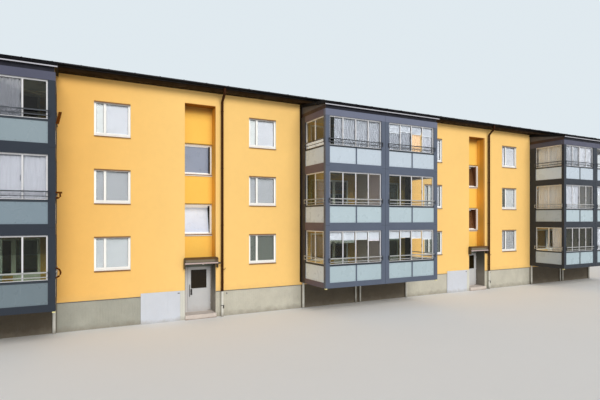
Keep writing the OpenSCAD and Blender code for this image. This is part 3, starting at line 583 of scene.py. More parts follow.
def frame_paint():
    """The door frame's paint, with painted shade: dark over the door under the canopy, shaded at the hinge
    side.
    """
    f = Finish("frame_paint", paint(206, 204, 202), 0.45)
    # Painted shade at the hinge side
    for x, tone in zip(RECESSES, (paint(160, 156, 150), paint(112, 104, 98))):
        f.tint(f.within(X, x + 1.2, x + RECESS_W + 0.1), tone)
    # Painted shade over the door, under the canopy
    f.tint(f.above(Z, DOOR_TOP - 0.05), paint(120, 128, 116))
    return f.mottle(0.05, 0.5).brushed(0.0004, 50, 2).rough(0.38, 0.56, 0.15)


def lining_paint():
    """The boards of the porch, darker towards their tops."""
    f = Finish("lining_paint", paint(148, 141, 130), 0.55)
    f.tint(f.above(Z, 1.4, 0.5), paint(90, 88, 74), 0.9)
    f.mottle(0.1, 0.4)
    f.joints(Y, 0.12, 0.008, -0.004)
    return f.brushed(0.0006, 60, 4).rough(0.5, 0.7, 0.2)


def cloth(name, *colour):
    """Woven blind or curtain cloth."""
    f = Finish(name, paint(*colour), 0.85, specular=0.2)
    f.mottle(0.06, 0.4)
    weave = f.net.node("ShaderNodeTexWave", Vector=f.net.place(), Scale=120.0, Distortion=1.0)
    f.bump(weave.outputs["Fac"], 0.0002)
    return f.set(Sheen_Weight=0.2).rough(0.78, 0.92, 0.1)


def clear_glass(name, tint, shade, ior):
    """Clear glass with a tint. The shade is what it leaves of the lamps' light that falls through it."""
    roughness = 0.02
    f = Finish(name, tint, roughness)
    f.set(Transmission_Weight=1.0, IOR=ior)
    f.waves(0.0006, 1.3)
    smear = f.net.noise(f.net.place((1, 1, 0.5)), 2.5, 4.0)
    f.set(Roughness=f.net.spread(smear, 0.4, 0.75, roughness * 0.5, roughness * 2))
    shadow_ray = f.net.node("ShaderNodeLightPath").outputs["Is Shadow Ray"]
    through = f.net.result("ShaderNodeBsdfTransparent", Color=shade)
    both = f.net.result("ShaderNodeMixShader", _0=shadow_ray, _1=f.shader.outputs[0], _2=through)
    output = next(n for n in f.net.tree.nodes if n.type == "OUTPUT_MATERIAL")
    f.net.feed(output.inputs["Surface"], both)
    return f


# Front panes with painted shade and painted reflections of trees, a few paler as painted light: bay, storey,
# first and last pane counted from the left, the shade's top over the floor, and tint
SHADED_PANES = [
    (0, 2, 0, 2.95, 2.6, (0.54, 0.55, 0.56)),
    (0, 2, 2.95, 4, 2.6, (0.11, 0.12, 0.08)),
    (0, 1, 0, 4, 2.6, (0.72, 0.74, 0.76)),
    (0, 0, 0, 4, 2.6, (0.24, 0.28, 0.2)),
    (0, 0, 0, 4, 1.8, (0.36, 0.43, 0.32)),
    (1, 2, 0, 0.35, 2.6, (0.2, 0.24, 0.17)),
    (1, 1, 0, 2, 2.6, (0.42, 0.46, 0.4)),
    (1, 1, 2, 3, 2.6, (0.56, 0.58, 0.56)),
    (1, 1, 3, 4, 2.6, (0.9, 0.84, 0.88)),
    (1, 0, 0, 1, 2.02, (0.3, 0.33, 0.26)),
    (1, 0, 1, 2, 2.0, (0.36, 0.4, 0.34)),
    (1, 0, 2, 3, 2.02, (0.6, 0.63, 0.61)),
    (1, 0, 3, 4, 2.02, (0.84, 0.82, 0.84)),
    (2, 2, 0, 4, 2.6, (0.8, 0.83, 0.85)),
    (2, 1, 0, 1.96, 2.6, (0.22, 0.26, 0.21)),
    (2, 0, 0, 1.96, 2.02, (0.18, 0.22, 0.17)),
    (2, 1, 1.98, 2.97, 2.6, (0.96, 0.93, 0.84)),
    (2, 0, 1.98, 2.97, 2.02, (0.96, 0.93, 0.84)),
    (3, 0, 0, 4, 2.6, (0.32, 0.35, 0.3)),
    (4, 0, 1, 4, 2.6, (0.34, 0.37, 0.32)),
]


def balcony_glass():
    """Balcony panes with painted shade and painted reflections of trees on some in front and on one on the
    middle stack's left side.
    """
    f = clear_glass("balcony_glass", (0.86, 0.89, 0.9, 1), (0.93, 0.95, 0.95, 1), 1.36)
    f.tint(f.above(Y, POST_IN), (0.96, 0.96, 0.94, 1))
    left = STACKS[1][0]
    side = f.meet(f.within(X, left, left + 0.2), f.above(Y, (POST_IN + WALL_POST_Y) / 2))
    # Painted reflection of trees on the side pane nearest the wall
    f.tint(f.meet(side, f.within(Z, LEVELS[1], LEVELS[1] + 2.6)), (0.16, 0.2, 0.13, 1))
    for bay, storey, first, last, top, tint in SHADED_PANES:
        left = BAYS[bay][0] + POST_W + 0.025
        pane = f.within(X, left + first * PANE_W, left + last * PANE_W)
        height = f.within(Z, LEVELS[storey], LEVELS[storey] + top, 0.02)
        f.tint(f.meet(pane, height, f.below(Y, POST_IN)), tint + (1,))
    return f.material


def stair_glass():
    """Glass painted with its reflections: blue-grey, palest low in the first recess where the tilted pane
    mirrors the sky, brown in the second where it mirrors the lit cheek.
    """
    f = Finish("stair_glass", paint(148, 160, 182), 0.3)
    # Painted reflection of the sky, low in the first recess
    bright = f.meet(f.below(Z, 5.8), f.below(X, BETWEEN_SECTIONS))
    f.tint(bright, paint(234, 242, 255))
    f.tint(f.meet(bright, f.below(Z, 4.35, 0.5)), paint(202, 216, 242), 0.8)
    # Painted reflection of the orange cheek in the second recess
    f.tint(f.above(X, BETWEEN_SECTIONS), paint(108, 74, 46))
    return f.mottle(0.08, 0.6).waves(0.001, 1.6).rough(0.26, 0.36, 0.3)


RENDER, RECESS_RENDER, BASE, PLATE = yellow_render(), recess_render(), base_concrete(), smooth_plate()
CONCRETE = (Finish("cast_concrete", paint(176, 174, 168), 0.88, specular=0.3)
            .mottle(0.1, 0.9).grain(0.02, 0.003, 0.6).rough(0.78, 0.94, 0.3))
LANDING = (Finish("landing_concrete", paint(207, 196, 187), 0.88, specular=0.3)
           .mottle(0.14, 0.35).splash(paint(120, 100, 88), 0.8, 0.0, 0.06)
           .grain(0.006, 0.0025, 0.4).rough(0.75, 0.92, 0.2))
ROOF = (Finish("roof_felt", paint(60, 60, 62), 0.9, specular=0.3)
        .mottle(0.2, 1.3).streaks(paint(84, 84, 78), 0.5, 0.25, 2.5, 0.5)
        .grain(0.006, 0.002).rough(0.82, 0.96, 0.3))

WHITE, GLOWING_SASH = white_paint(), glowing_sash_paint()
SCREEN = painted("screen_board", paint(216, 214, 208), 0.55, 0.05, 0.8)
STRIP = painted("pink_strip", paint(192, 172, 168), 0.5, 0.08, 0.2)
CHEEK = painted("cheek_paint", paint(44, 40, 32), 0.7, 0.1, 0.2, 0.1)
# Brown as painted shade of the second recess, like its sashes' edges
BROWN_CHEEK = painted("brown_cheek_paint", paint(112, 76, 48), 0.6, 0.1, 0.2)
HEAD_STRIP = painted("head_strip", paint(128, 104, 44), 0.7, 0.1, 0.3)
DRIP = painted("drip_strip", paint(186, 186, 194), 0.4, 0.1, 0.6)
BRACKET = painted("bracket_paint", paint(86, 44, 4), 0.7, 0.15, 0.2, 0.1)
CAP_YELLOW = painted("end_cap", paint(250, 240, 172), 0.5, 0.08, 0.05)

BLUE_GREY, PARAPET, CLADDING = blue_grey_paint(), parapet_board(), cladding()
PROFILE, RAIL, CANOPY = pale_profiles(), rail_metal(), canopy_sheet()
BROWN_SHEET = sheet("brown_sheet", paint(142, 102, 64), 0.5)
GREY_SHEET = sheet("grey_sheet", paint(104, 104, 106), 0.5)
HANDLE = sheet("handle_metal", paint(60, 58, 58), 0.35)
CAP = sheet("cap_strip", paint(50, 58, 66), 0.5, 0.1)
DARK_TRIM = sheet("dark_trim", paint(36, 22, 5), 0.7, 0.0, paint(36, 28, 18), 0.15)
BLACK_SHEET = sheet("black_sheet", paint(8, 8, 12), 0.6, 0.0, paint(26, 24, 28), 0.15)
GUTTER = sheet("gutter_black", paint(10, 8, 8), 0.6, 0.0, paint(30, 26, 24), 0.15)
PIPE = sheet("pipe_brown", paint(58, 28, 3), 0.5, 0.0, paint(38, 24, 12), 0.2)
PALE_PIPE = (Finish("pale_pipe", paint(218, 217, 208), 0.5)
             .mottle(0.1, 0.3).streaks(paint(140, 138, 128), 0.6, 0.02, 0.4, 0.5)
             .splash(paint(120, 112, 98), 0.7, 0.0, 0.25).grain(0.01, 0.0005).rough(0.42, 0.62, 0.1))

DOOR = door_paint("door_paint").brushed(0.0004, 50, 2).rough(0.38, 0.56, 0.15)
LEAF, FRAME, LINING = leaf_paint(), frame_paint(), lining_paint()
RUBBER = (Finish("black_rubber", paint(26, 26, 26), 0.7, specular=0.3)
          .mottle(0.15, 0.1).grain(0.004, 0.0002).rough(0.6, 0.8, 0.05))
LAMP = (Finish("lamp_glass", paint(226, 222, 212), 0.3)
        .mottle(0.04, 0.05).waves(0.0004, 90.0, 2.0).set(Coat_Weight=0.4).rough(0.25, 0.4, 0.04))

WINDOW_GLASS = clear_glass("window_glass", (0.95, 0.97, 0.98, 1), (0.97, 0.98, 0.98, 1), 1.6).material
BALCONY_GLASS, STAIR_GLASS = balcony_glass(), stair_glass()
DOOR_GLASS = (Finish("door_glass", paint(34, 25, 8), 0.06, specular=0.3)
              .mottle(0.2, 0.5).waves(0.0008, 2.0).rough(0.04, 0.1, 0.2))
SLATS = cloth("blind_grey", 168, 171, 176)
BLINDS = {
    "white": cloth("blind_white", 188, 191, 191),
    "lilac": cloth("blind_lilac", 179, 181, 188),
    "dull": cloth("blind_dull", 166, 170, 173),
    "moss": cloth("blind_moss", 74, 80, 72),
    "roller": cloth("roller_cloth", 188, 190, 198),
}
PALE_CLOTH = cloth("curtain_pale", 190, 190, 198)
CURTAINS = {
    "pale": PALE_CLOTH,
    "smooth": PALE_CLOTH,
    "grey": cloth("curtain_grey", 154, 156, 165),
    "peach": cloth("curtain_peach", 240, 198, 154),
    "cream": cloth("curtain_cream", 255, 252, 246),
}

NODE_FINISHES = {
    "foundation": CONCRETE, "plinth_front": BASE, "plinth_rear": BASE, "hall_walls": CONCRETE,
    "ground_floor": CONCRETE, "upper_floors": CONCRETE, "attic_floor": CONCRETE,
    "front_walls": RENDER, "back_wall": RENDER, "end_walls": RENDER, "recess_heads": RENDER,
    "recess_cheeks": RENDER, "stair_front_walls": RECESS_RENDER,
    "window_frames": WHITE, "window_glass": WINDOW_GLASS, "stair_sashes": GLOWING_SASH, "stair_glass": STAIR_GLASS,
    "window_sheets": BROWN_SHEET, "balcony_door_frames": WHITE, "balcony_slabs": CONCRETE,
    "balcony_posts": BLUE_GREY, "balcony_beams": BLUE_GREY, "balcony_panels": PARAPET,
    "balcony_caps": CAP, "balcony_rails": RAIL, "balcony_glazing_frames": PROFILE,
    "balcony_glass": BALCONY_GLASS, "balcony_screens": SCREEN, "balcony_roofs": BLACK_SHEET,
    "balcony_roof_sides": CLADDING, "main_roof": ROOF,
    "verge_boards": DARK_TRIM, "eave_boards": DARK_TRIM, "gutters": GUTTER, "downpipes": PIPE,
    "drain_pipes": PALE_PIPE, "canopies": CANOPY, "landings": LANDING, "door_frames": FRAME,
    "porch_linings": LINING, "plinth_plates": PLATE, "left_door_leaf": LEAF, "left_door_glass": DOOR_GLASS,
    "right_door_leaf": LEAF, "right_door_glass": DOOR_GLASS,
}
for name, finish in NODE_FINISHES.items():
    slots = nodes[name].data.materials
    slots.clear()
    slots.append(finish)


# Building pieces

# A box's faces, by its four low corners and its four high ones
BOX_FACES = [(0, 3, 2, 1), (4, 5, 6, 7), (0, 1, 5, 4), (1, 2, 6, 5), (2, 3, 7, 6), (3, 0, 4, 7)]


def circle(sides):
    """The cosine and sine of each point round a circle."""
    return [(math.cos(t), math.sin(t)) for t in (2 * math.pi * k / sides for k in range(sides))]


class Work:
    """Gathers the faces of one piece."""

    def __init__(self):
        self.points = []
        self.faces = []
        self.smooth = []

    def add(self, points, faces, smooth=False):
        start = len(self.points)
        self.points += [Vector(p) for p in points]
        self.faces += [[start + i for i in f] for f in faces]
        self.smooth += [smooth] * len(faces)

    def mesh(self, mesh, place=Matrix()):
        start = len(self.points)
        self.points += [place @ v.co for v in mesh.vertices]
        turned = place.determinant() < 0
        for p in mesh.polygons:
            loop = [start + i for i in p.vertices]
            self.faces.append(loop[::-1] if turned else loop)
            self.smooth.append(p.use_smooth)

    def box(self, x, y, z):
        corners = [(x[0], y[0]), (x[1], y[0]), (x[1], y[1]), (x[0], y[1])]
        self.add([(px, py, pz) for pz in z for px, py in corners], BOX_FACES)

    def ring(self, x, z, y, width):
        """An upright rectangular rim, facing along Y."""
        corners = []
        for w in (0, width):
            left, right, low, high = x[0] + w, x[1] - w, z[0] + w, z[1] - w
            corners += [(left, low), (right, low), (right, high), (left, high)]
        faces = []
        for i in range(4):
            j = (i + 1) % 4
            faces += [(i, j, 4 + j, 4 + i), (8 + j, 8 + i, 12 + i, 12 + j),
                      (j, i, 8 + i, 8 + j), (4 + i, 4 + j, 12 + j, 12 + i)]
        self.add([(px, py, pz) for py in y for px, pz in corners], faces)

    def prism(self, outline, x):
        """A closed outline of (y, z) points, drawn out along X."""
        n = len(outline)
        points = [(px, y, z) for px in x for y, z in outline]
        faces = [(n + i, n + (i + 1) % n, (i + 1) % n, i) for i in range(n)]
        self.add(points, faces + [tuple(range(n))[::-1], tuple(range(n, 2 * n))])

    def skin(self, rings, around=False, smooth_ends=False):
        """A smooth skin over rings of points, closed by two ends or by going around to the first ring."""
        start, sides = len(self.points), len(rings[0])
        starts = [i * sides for i in range(len(rings))]
        following = starts[1:] + starts[:1] if around else starts[1:]
        faces = [(a + k, b + k, b + (k + 1) % sides, a + (k + 1) % sides)
                 for a, b in zip(starts, following) for k in range(sides)]
        self.add([p for ring in rings for p in ring], faces, True)
        if not around:
            last = start + starts[-1]
            self.faces += [list(range(start, start + sides)), list(range(last, last + sides))[::-1]]
            self.smooth += [smooth_ends] * 2

    def tube(self, path, radius, sides=12):
        """A round bar along a path of points."""
        path = [Vector(p) for p in path]
        rings = []
        for i, p in enumerate(path):
            ahead = (path[min(i + 1, len(path) - 1)] - path[max(i - 1, 0)]).normalized()
            upright = Vector((0, 0, 1)) if abs(ahead.z) < 0.9 else Vector((1, 0, 0))
            side = ahead.cross(upright).normalized()
            up = side.cross(ahead)
            rings.append([p + radius * (c * side + s * up) for c, s in circle(sides)])
        self.skin(rings)

    def made(self, name):
        """The gathered faces as a mesh, turned outwards."""
        mesh = bpy.data.meshes.new(name)
        mesh.from_pydata(self.points, [], self.faces)
        tidy = bmesh.new()
        tidy.from_mesh(mesh)
        bmesh.ops.recalc_face_normals(tidy, faces=tidy.faces)
        tidy.to_mesh(mesh)
        tidy.free()
        return mesh

    def piece(self, name, finish, body="root", bevel=0.0):
        mesh = self.made(name)
        mesh.polygons.foreach_set("use_smooth", self.smooth)
        mesh.materials.append(finish)
        obj = bpy.data.objects.new(name, mesh)
        scene.collection.objects.link(obj)
        if bevel:
            edge = obj.modifiers.new("round edges", "BEVEL")
            edge.width = bevel
            edge.segments = 2
            edge.limit_method = "ANGLE"
            edge.angle_limit = math.radians(40)
        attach(obj, body)
        return obj


def small(build):
    """The mesh of a small shape, for copying."""
    work = Work()
    build(work)
    return work.made("small")


def copies(name, finish, build, places, bevel=0.0):
    """A piece of copies of a small shape, one at each place."""
    shape = small(build)
    work = Work()
    for place in places:
        work.mesh(shape, place)
    return work.piece(name, finish, bevel=bevel)


def boxes(name, finish, limits, body="root", bevel=0.0):
    """A piece of boxes, each given by its limits in X, Y and Z."""
    work = Work()
    for x, y, z in limits:
        work.box(x, y, z)
    return work.piece(name, finish, body, bevel)


def at(x, y, z, turn=0.0):
    return Matrix.Translation((x, y, z)) @ Matrix.Rotation(turn, 4, "Z")


# Geometry Nodes trees

VECTOR, INTEGER = "NodeSocketVector", "NodeSocketInt"
SLAT_THICKNESS, HEAD_RAIL = 0.0016, 0.03
COLUMNS_PER_FOLD, CLOTH_ROWS = 10.0, 9


def new_maker(name, **kinds):
    """A geometry tree with named inputs, a finish last. Returns it, its net, its inputs and its output."""
    tree = bpy.data.node_groups.new(name, "GeometryNodeTree")
    tree.is_modifier = True
    tree.interface.new_socket("Geometry", in_out="INPUT", socket_type="NodeSocketGeometry")
    for label, kind in kinds.items():
        tree.interface.new_socket(label.replace("_", " "), in_out="INPUT", socket_type=kind)
    tree.interface.new_socket("Finish", in_out="INPUT", socket_type="NodeSocketMaterial")
    tree.interface.new_socket("Geometry", in_out="OUTPUT", socket_type="NodeSocketGeometry")
    given, out = tree.nodes.new("NodeGroupInput"), tree.nodes.new("NodeGroupOutput")
    return tree, Net(tree), given.outputs, out.inputs[0]


def end_maker(net, given, out, geometry):
    """The last nodes of each tree: plain geometry with the given finish."""
    solid = net.result("GeometryNodeRealizeInstances", Geometry=geometry)
    net.feed(out, net.result("GeometryNodeSetMaterial", Geometry=solid, Material=given["Finish"]))


def make_rows():
    """Copies of the given shape in rows: a number along, with a step, and a number across, with a step."""
    tree, net, given, out = new_maker(
        "rows_of_copies", First=VECTOR, Along=INTEGER, Step_along=VECTOR, Across=INTEGER, Step_across=VECTOR)
    line = net.node("GeometryNodeMeshLine", Count=given["Along"], Offset=given["Step along"])
    net.feed(line.inputs["Start Location"], given["First"])
    cross = net.result("GeometryNodeMeshLine", Count=given["Across"], Offset=given["Step across"])
    grid = net.result("GeometryNodeInstanceOnPoints", Points=line.outputs[0], Instance=cross)
    points = net.result("GeometryNodeRealizeInstances", Geometry=grid)
    rows = net.result("GeometryNodeInstanceOnPoints", Points=points, Instance=given["Geometry"])
    end_maker(net, given, out, rows)
    return tree


def make_blind():
    """A slatted blind that hangs down from the origin in the X-Z plane."""
    tree, net, given, out = new_maker(
        "slatted_blind", Width=FLOAT, Slats=INTEGER, Pitch=FLOAT, Slat_width=FLOAT, Tilt=FLOAT)
    slat_size = net.vector(given["Width"], given["Slat width"], SLAT_THICKNESS)
    slat = net.result("GeometryNodeMeshCube", Size=slat_size)
    tilted = net.result("GeometryNodeTransform", Geometry=slat, Rotation=net.vector(given["Tilt"]))
    step = net.vector(z=net.times(given["Pitch"], -1.0))
    line = net.result("GeometryNodeMeshLine", Count=given["Slats"], Offset=step)
    slats = net.result("GeometryNodeInstanceOnPoints", Points=line, Instance=tilted)
    head = net.result("GeometryNodeMeshCube", Size=net.vector(given["Width"], HEAD_RAIL, HEAD_RAIL))
    both = net.node("GeometryNodeJoinGeometry")
    for part in (slats, head):
        net.feed(both.inputs[0], part)
    end_maker(net, given, out, both.outputs[0])
    return tree


def make_curtain():
    """A cloth that hangs in upright folds from the origin, in the X-Z plane."""
    tree, net, given, out = new_maker(
        "folded_cloth", Width=FLOAT, Height=FLOAT, Folds=INTEGER, Fold_depth=FLOAT, Seed=FLOAT)
    columns = net.times(given["Folds"], COLUMNS_PER_FOLD)
    grid = net.result(
        "GeometryNodeMeshGrid", _0=given["Width"], _1=given["Height"], _2=columns, _3=CLOTH_ROWS)
    x, y = net.parts(net.result("GeometryNodeInputPosition"))[:2]
    turns = net.times(net.over(x, given["Width"]), given["Folds"])
    drift = net.vector(net.times(x, 2.2), net.times(y, 0.25), given["Seed"])
    wander = net.result("ShaderNodeTexNoise", Vector=drift, Scale=1.0, Detail=1.0)
    angle = net.times(net.add(turns, net.times(wander, 2.5)), 2 * math.pi)
    depth = net.times(given["Fold depth"], net.add(wander, 0.4))
    fold = net.times(net.math("SINE", angle), depth)
    drop = net.add(y, net.times(given["Height"], -0.5))
    hung = net.result("GeometryNodeSetPosition", Geometry=grid, Position=net.vector(x, fold, drop))
    end_maker(net, given, out, net.result("GeometryNodeSetShadeSmooth", Geometry=hung))
    return tree


ROWS, BLIND, CURTAIN = make_rows(), make_blind(), make_curtain()


def grown(tree, finish, source=None, **values):
    """The plain mesh that a geometry tree makes from a source mesh, named values and a finish."""
    obj = bpy.data.objects.new("maker", source or bpy.data.meshes.new("empty"))
    scene.collection.objects.link(obj)
    modifier = obj.modifiers.new("maker", "NODES")
    modifier.node_group = tree
    sockets = {item.name: item.identifier for item in tree.interface.items_tree if item.in_out == "INPUT"}
    for label, value in values.items():
        modifier[sockets[label.replace("_", " ")]] = value
    modifier[sockets["Finish"]] = finish
    done = obj.evaluated_get(bpy.context.evaluated_depsgraph_get())
    mesh = bpy.data.meshes.new_from_object(done)
    obj.modifiers.clear()
    bpy.data.objects.remove(obj)
    return mesh


def rows(shape, finish, first, along, step_along, across=1, step_across=(0, 0, 0)):
    """Rows of a small shape as a plain mesh."""
    return grown(ROWS, finish, shape, First=first, Along=along, Step_along=step_along, Across=across,
                 Step_across=step_across)


def mirrored_row(name, finish, build, first_x, count, step):
    """A piece of one row of shapes along the street side and its mirror image at the rear."""
    row = rows(small(build), finish, (first_x, 0, 0), count, (step, 0, 0))
    work = Work()
    for side in (1, -1):
        work.mesh(row, Matrix.Scale(side, 4, (0, 1, 0)))
    work.piece(name, finish)


# Windows

window_places = [at(x, Y_FRONT, z + SILL_H) for x in FRONT_COLUMNS for z in LEVELS]
window_places += [at(x + WIN_W, Y_BACK, z + SILL_H, math.pi) for x in BACK_COLUMNS for z in LEVELS]
pair_places = [at((a + b - WIN_W - BALCONY_DOOR_W) / 2, Y_FRONT, z) for a, b in BAYS for z in LEVELS]
RIM_W, RIM_Y, BOTTOM_RAIL_H = 0.012, (REVEAL - 0.008, GLASS_Y - 0.006), 0.075


def window_sash(work):
    for a, b in LIGHTS:
        work.ring((a, b), (FRAME_W, WIN_H - FRAME_W), RIM_Y, RIM_W)
        work.box((a + RIM_W, b - RIM_W), (REVEAL - 0.007, GLASS_Y - 0.007),
                 (FRAME_W + RIM_W, FRAME_W + BOTTOM_RAIL_H))


def window_seal(work):
    for a, b in LIGHTS:
        work.ring((a + RIM_W, b - RIM_W), (FRAME_W + RIM_W, WIN_H - FRAME_W - RIM_W),
                  (REVEAL + 0.012, GLASS_Y - 0.002), 0.004)


def window_hinges(work):
    for z in (0.25, WIN_H - 0.3):
        for x in (LIGHTS[0][0] - 0.006, LIGHTS[1][1] - 0.006):
            work.box((x, x + 0.012), (REVEAL - 0.02, REVEAL - 0.002), (z, z + 0.07))


def window_jambs(work):
    for x in (0.0005, WIN_W - 0.0055):
        work.box((x, x + 0.005), (0.001, REVEAL + 0.002), (0.001, WIN_H - 0.001))


def pair_sash(work):
    """Rims of the window and the glazed door behind a balcony, from sill height up."""
    for a, b in ((FRAME_W, WIN_W - FRAME_W / 2), (WIN_W + FRAME_W, WIN_W + BALCONY_DOOR_W - FRAME_W)):
        work.ring((a, b), (SILL_H + FRAME_W, WIN_TOP - FRAME_W), RIM_Y, 0.02)


copies("window_sash_rims", WHITE, window_sash, window_places, 0.003)
copies("window_seals", RUBBER, window_seal, window_places)
copies("window_hinges", WHITE, window_hinges, window_places)
copies("window_jamb_linings", WHITE, window_jambs, window_places)
copies("balcony_door_sash_rims", WHITE, pair_sash, pair_places, 0.003)

# What hangs behind the windows of each column and storey, in the narrow light and in the wide one
FRONT_BLINDS = {
    (0, 2): ("white", "lilac"), (0, 1): ("slats", "slats"), (0, 0): ("dull", "dull"),
    (1, 2): ("white", "lilac"), (1, 1): ("slats", "slats"), (1, 0): ("moss", "moss"),
    (2, 2): ("lilac", "lilac"), (2, 1): ("slats", "slats"), (2, 0): ("moss", "moss"),
    (3, 2): ("lilac", "lilac"), (3, 1): ("moss", "dull"), (3, 0): ("slats", "slats"),
}
SLAT_PITCH, SLAT_WIDTH, SLAT_TILT = 0.034, 0.036, math.radians(-66)
chance = random.Random(7)
blinds = {kind: Work() for kind in BLINDS}
slats = Work()


def hang_flat(kind, width, height, place):
    """A cloth that hangs flat from the given place, a little bowed, with its length downwards."""
    steps, bow = 8, 0.004
    points = [place @ Vector((x, bow * math.sin(math.pi * k / steps), -height * k / steps))
              for k in range(steps + 1) for x in (-width / 2, width / 2)]
    blinds[kind].add(points, [(2 * k, 2 * k + 2, 2 * k + 3, 2 * k + 1) for k in range(steps)], True)


def dress_window(place, kinds, share=1.0):
    """Hangs a blind in each light of a window, let down by a share of its height."""
    drop = (WIN_H - 2 * FRAME_W) * share
    for kind, (a, b) in zip(kinds, LIGHTS):
        hung = place @ at((a + b) / 2, GLASS_Y + 0.024, WIN_H - FRAME_W - 0.004)
        if kind == "slats":
            blind = grown(BLIND, SLATS, Width=b - a - 0.02, Slats=max(2, int(drop / SLAT_PITCH)),
                          Pitch=SLAT_PITCH, Slat_width=SLAT_WIDTH, Tilt=SLAT_TILT)
            slats.mesh(blind, hung @ at(0, 0.014, -0.016))
        elif kind:
            hang_flat(kind, b - a - 0.004, drop - 0.008, hung)


for (column, storey), kinds in FRONT_BLINDS.items():
    dress_window(at(FRONT_COLUMNS[column], Y_FRONT, LEVELS[storey] + SILL_H), kinds)
for place in window_places[len(FRONT_COLUMNS) * len(LEVELS):]:
    kind = chance.choice(("white", "lilac", "slats", None, "moss"))
    dress_window(place, (kind, kind), chance.choice((1.0, 0.85, 0.4)))
slats.piece("slatted_blinds", SLATS)


# Stair windows: the sides of the tilted sashes, and the boards around them

front_y, tilted_y = STAIR_WIN_Y - 0.002, STAIR_WIN_Y + 0.335
for side, x, sills in (("left", RECESSES[0], STAIR_SILLS[:1]), ("right", RECESSES[1], STAIR_SILLS)):
    cheeks = Work()
    for z in sills:
        low, high = z + 0.065, z + 1.325
        for edge in (x + 0.0605, x + 1.335):
            cheeks.prism([(front_y, low), (STAIR_WIN_Y + 0.068, low), (tilted_y, high), (front_y, high)],
                         (edge, edge + 0.0045))
    # The cheeks in the second recess take its painted brown shade
    cheeks.piece(f"{side}_hopper_cheeks", CHEEK if side == "left" else BROWN_CHEEK)

# White boards in the glowing paint, as painted light: at the right jamb of each window in the second recess,
# and one over the shaded gap at the head of the first recess's tilted sash
right_jamb, left_head = RECESSES[1] + RECESS_W, STAIR_SILLS[0] + STAIR_WIN_H
covers = [((right_jamb - 0.008, right_jamb - 0.0005), (RECESS_BACK - 0.06, STAIR_WIN_Y - 0.003),
           (z + 0.01, z + STAIR_WIN_H - 0.03)) for z in STAIR_SILLS]
covers.append(((RECESSES[0] + 0.066, RECESSES[0] + 1.3), (STAIR_WIN_Y + 0.24, STAIR_WIN_Y + 0.25),
               (left_head - 0.15, left_head - 0.0005)))
boxes("stair_cover_boards", GLOWING_SASH, covers, bevel=0.002)

stair_windows = [((x + 0.001, x + RECESS_W - 0.001), z) for x in RECESSES for z in STAIR_SILLS]
boxes("stair_sill_boards", SCREEN, [
    (width, (RECESS_BACK - 0.035, RECESS_BACK - 0.0005), (z - 0.07, z - 0.012)) for width, z in stair_windows
], bevel=0.004)
boxes("stair_head_strips", HEAD_STRIP, [
    (width, (RECESS_BACK - 0.03, RECESS_BACK - 0.0005), (z + STAIR_WIN_H + 0.001, z + STAIR_WIN_H + 0.028))
    for width, z in stair_windows
], bevel=0.003)
boxes("closed_sash_edge", CHEEK, [
    ((RECESSES[0] + 1.255, RECESSES[0] + 1.3395), (STAIR_WIN_Y - 0.006, STAIR_WIN_Y - 0.001),
     (STAIR_SILLS[1] + 0.07, STAIR_SILLS[1] + 1.33))
])


# Balconies

# What hangs behind the front panes of each bay and storey: kind, first pane, last pane, share of the height
FRONT_HANGINGS = {
    (0, 2): [("grey", 0, 2.95, 1.0)],
    (0, 1): [("smooth", 0, 1.97, 1.0), ("smooth", 2.05, 4, 1.0)],
    (0, 0): [("grey", 0, 2.2, 1.0)],
    (1, 2): [("grey", 0.35, 4, 1.0)],
    (1, 0): [("roller", 0, 4, 0.3)],
    (2, 2): [("roller", 0, 4, 0.3), ("grey", 0.05, 1.95, 1.0), ("peach", 2.05, 2.9, 1.0),
             ("pale", 3.05, 4, 1.0)],
    (2, 0): [("roller", 0, 4, 0.26)],
    (3, 2): [("grey", 0, 2, 1.0), ("pale", 2.05, 4, 1.0)],
    (3, 1): [("pale", 0, 2, 1.0)],
    (4, 2): [("pale", 2, 4, 1.0)],
    (4, 1): [("roller", 0, 4, 0.35)],
    (4, 0): [("pale", 0, 1, 1.0)],
}
# Cream curtains behind the left side of a stack: stack, storey, first and last pane counted from the wall
SIDE_CURTAINS = ((2, 2, 0.05, 1.95), (2, 1, 0.05, 1.95), (2, 0, 1.2, 1.9), (1, 0, 1.55, 1.95))
SIDE_PANE_W = (BAY_D - 0.6) / 2
FOLD_W = 0.13
FOLD_DEPTH = {"pale": 0.026, "cream": 0.026, "smooth": 0.006, "grey": 0.014, "peach": 0.014}
curtains = {kind: Work() for kind in CURTAINS}
roller_bars = Work()


def glazed_height(storey):
    """The top of what hangs behind a storey's glazing, and its full length."""
    return LEVELS[storey] + GLAZING_TOPS[storey] - 0.03, GLAZING_TOPS[storey] - GLAZING_Z - 0.06


def hang_curtain(kind, width, height, place, seed):
    folds = max(3, round(width / FOLD_W))
    mesh = grown(CURTAIN, CURTAINS[kind], Width=width, Height=height, Folds=folds,
                 Fold_depth=FOLD_DEPTH[kind], Seed=float(seed))
    curtains[kind].mesh(mesh, place)


def hang_roller(width, height, place):
    hang_flat("roller", width, height, place)
    bar = small(lambda w: w.box((-width / 2, width / 2), (-0.006, 0.008), (-height - 0.022, -height)))
    roller_bars.mesh(bar, place)


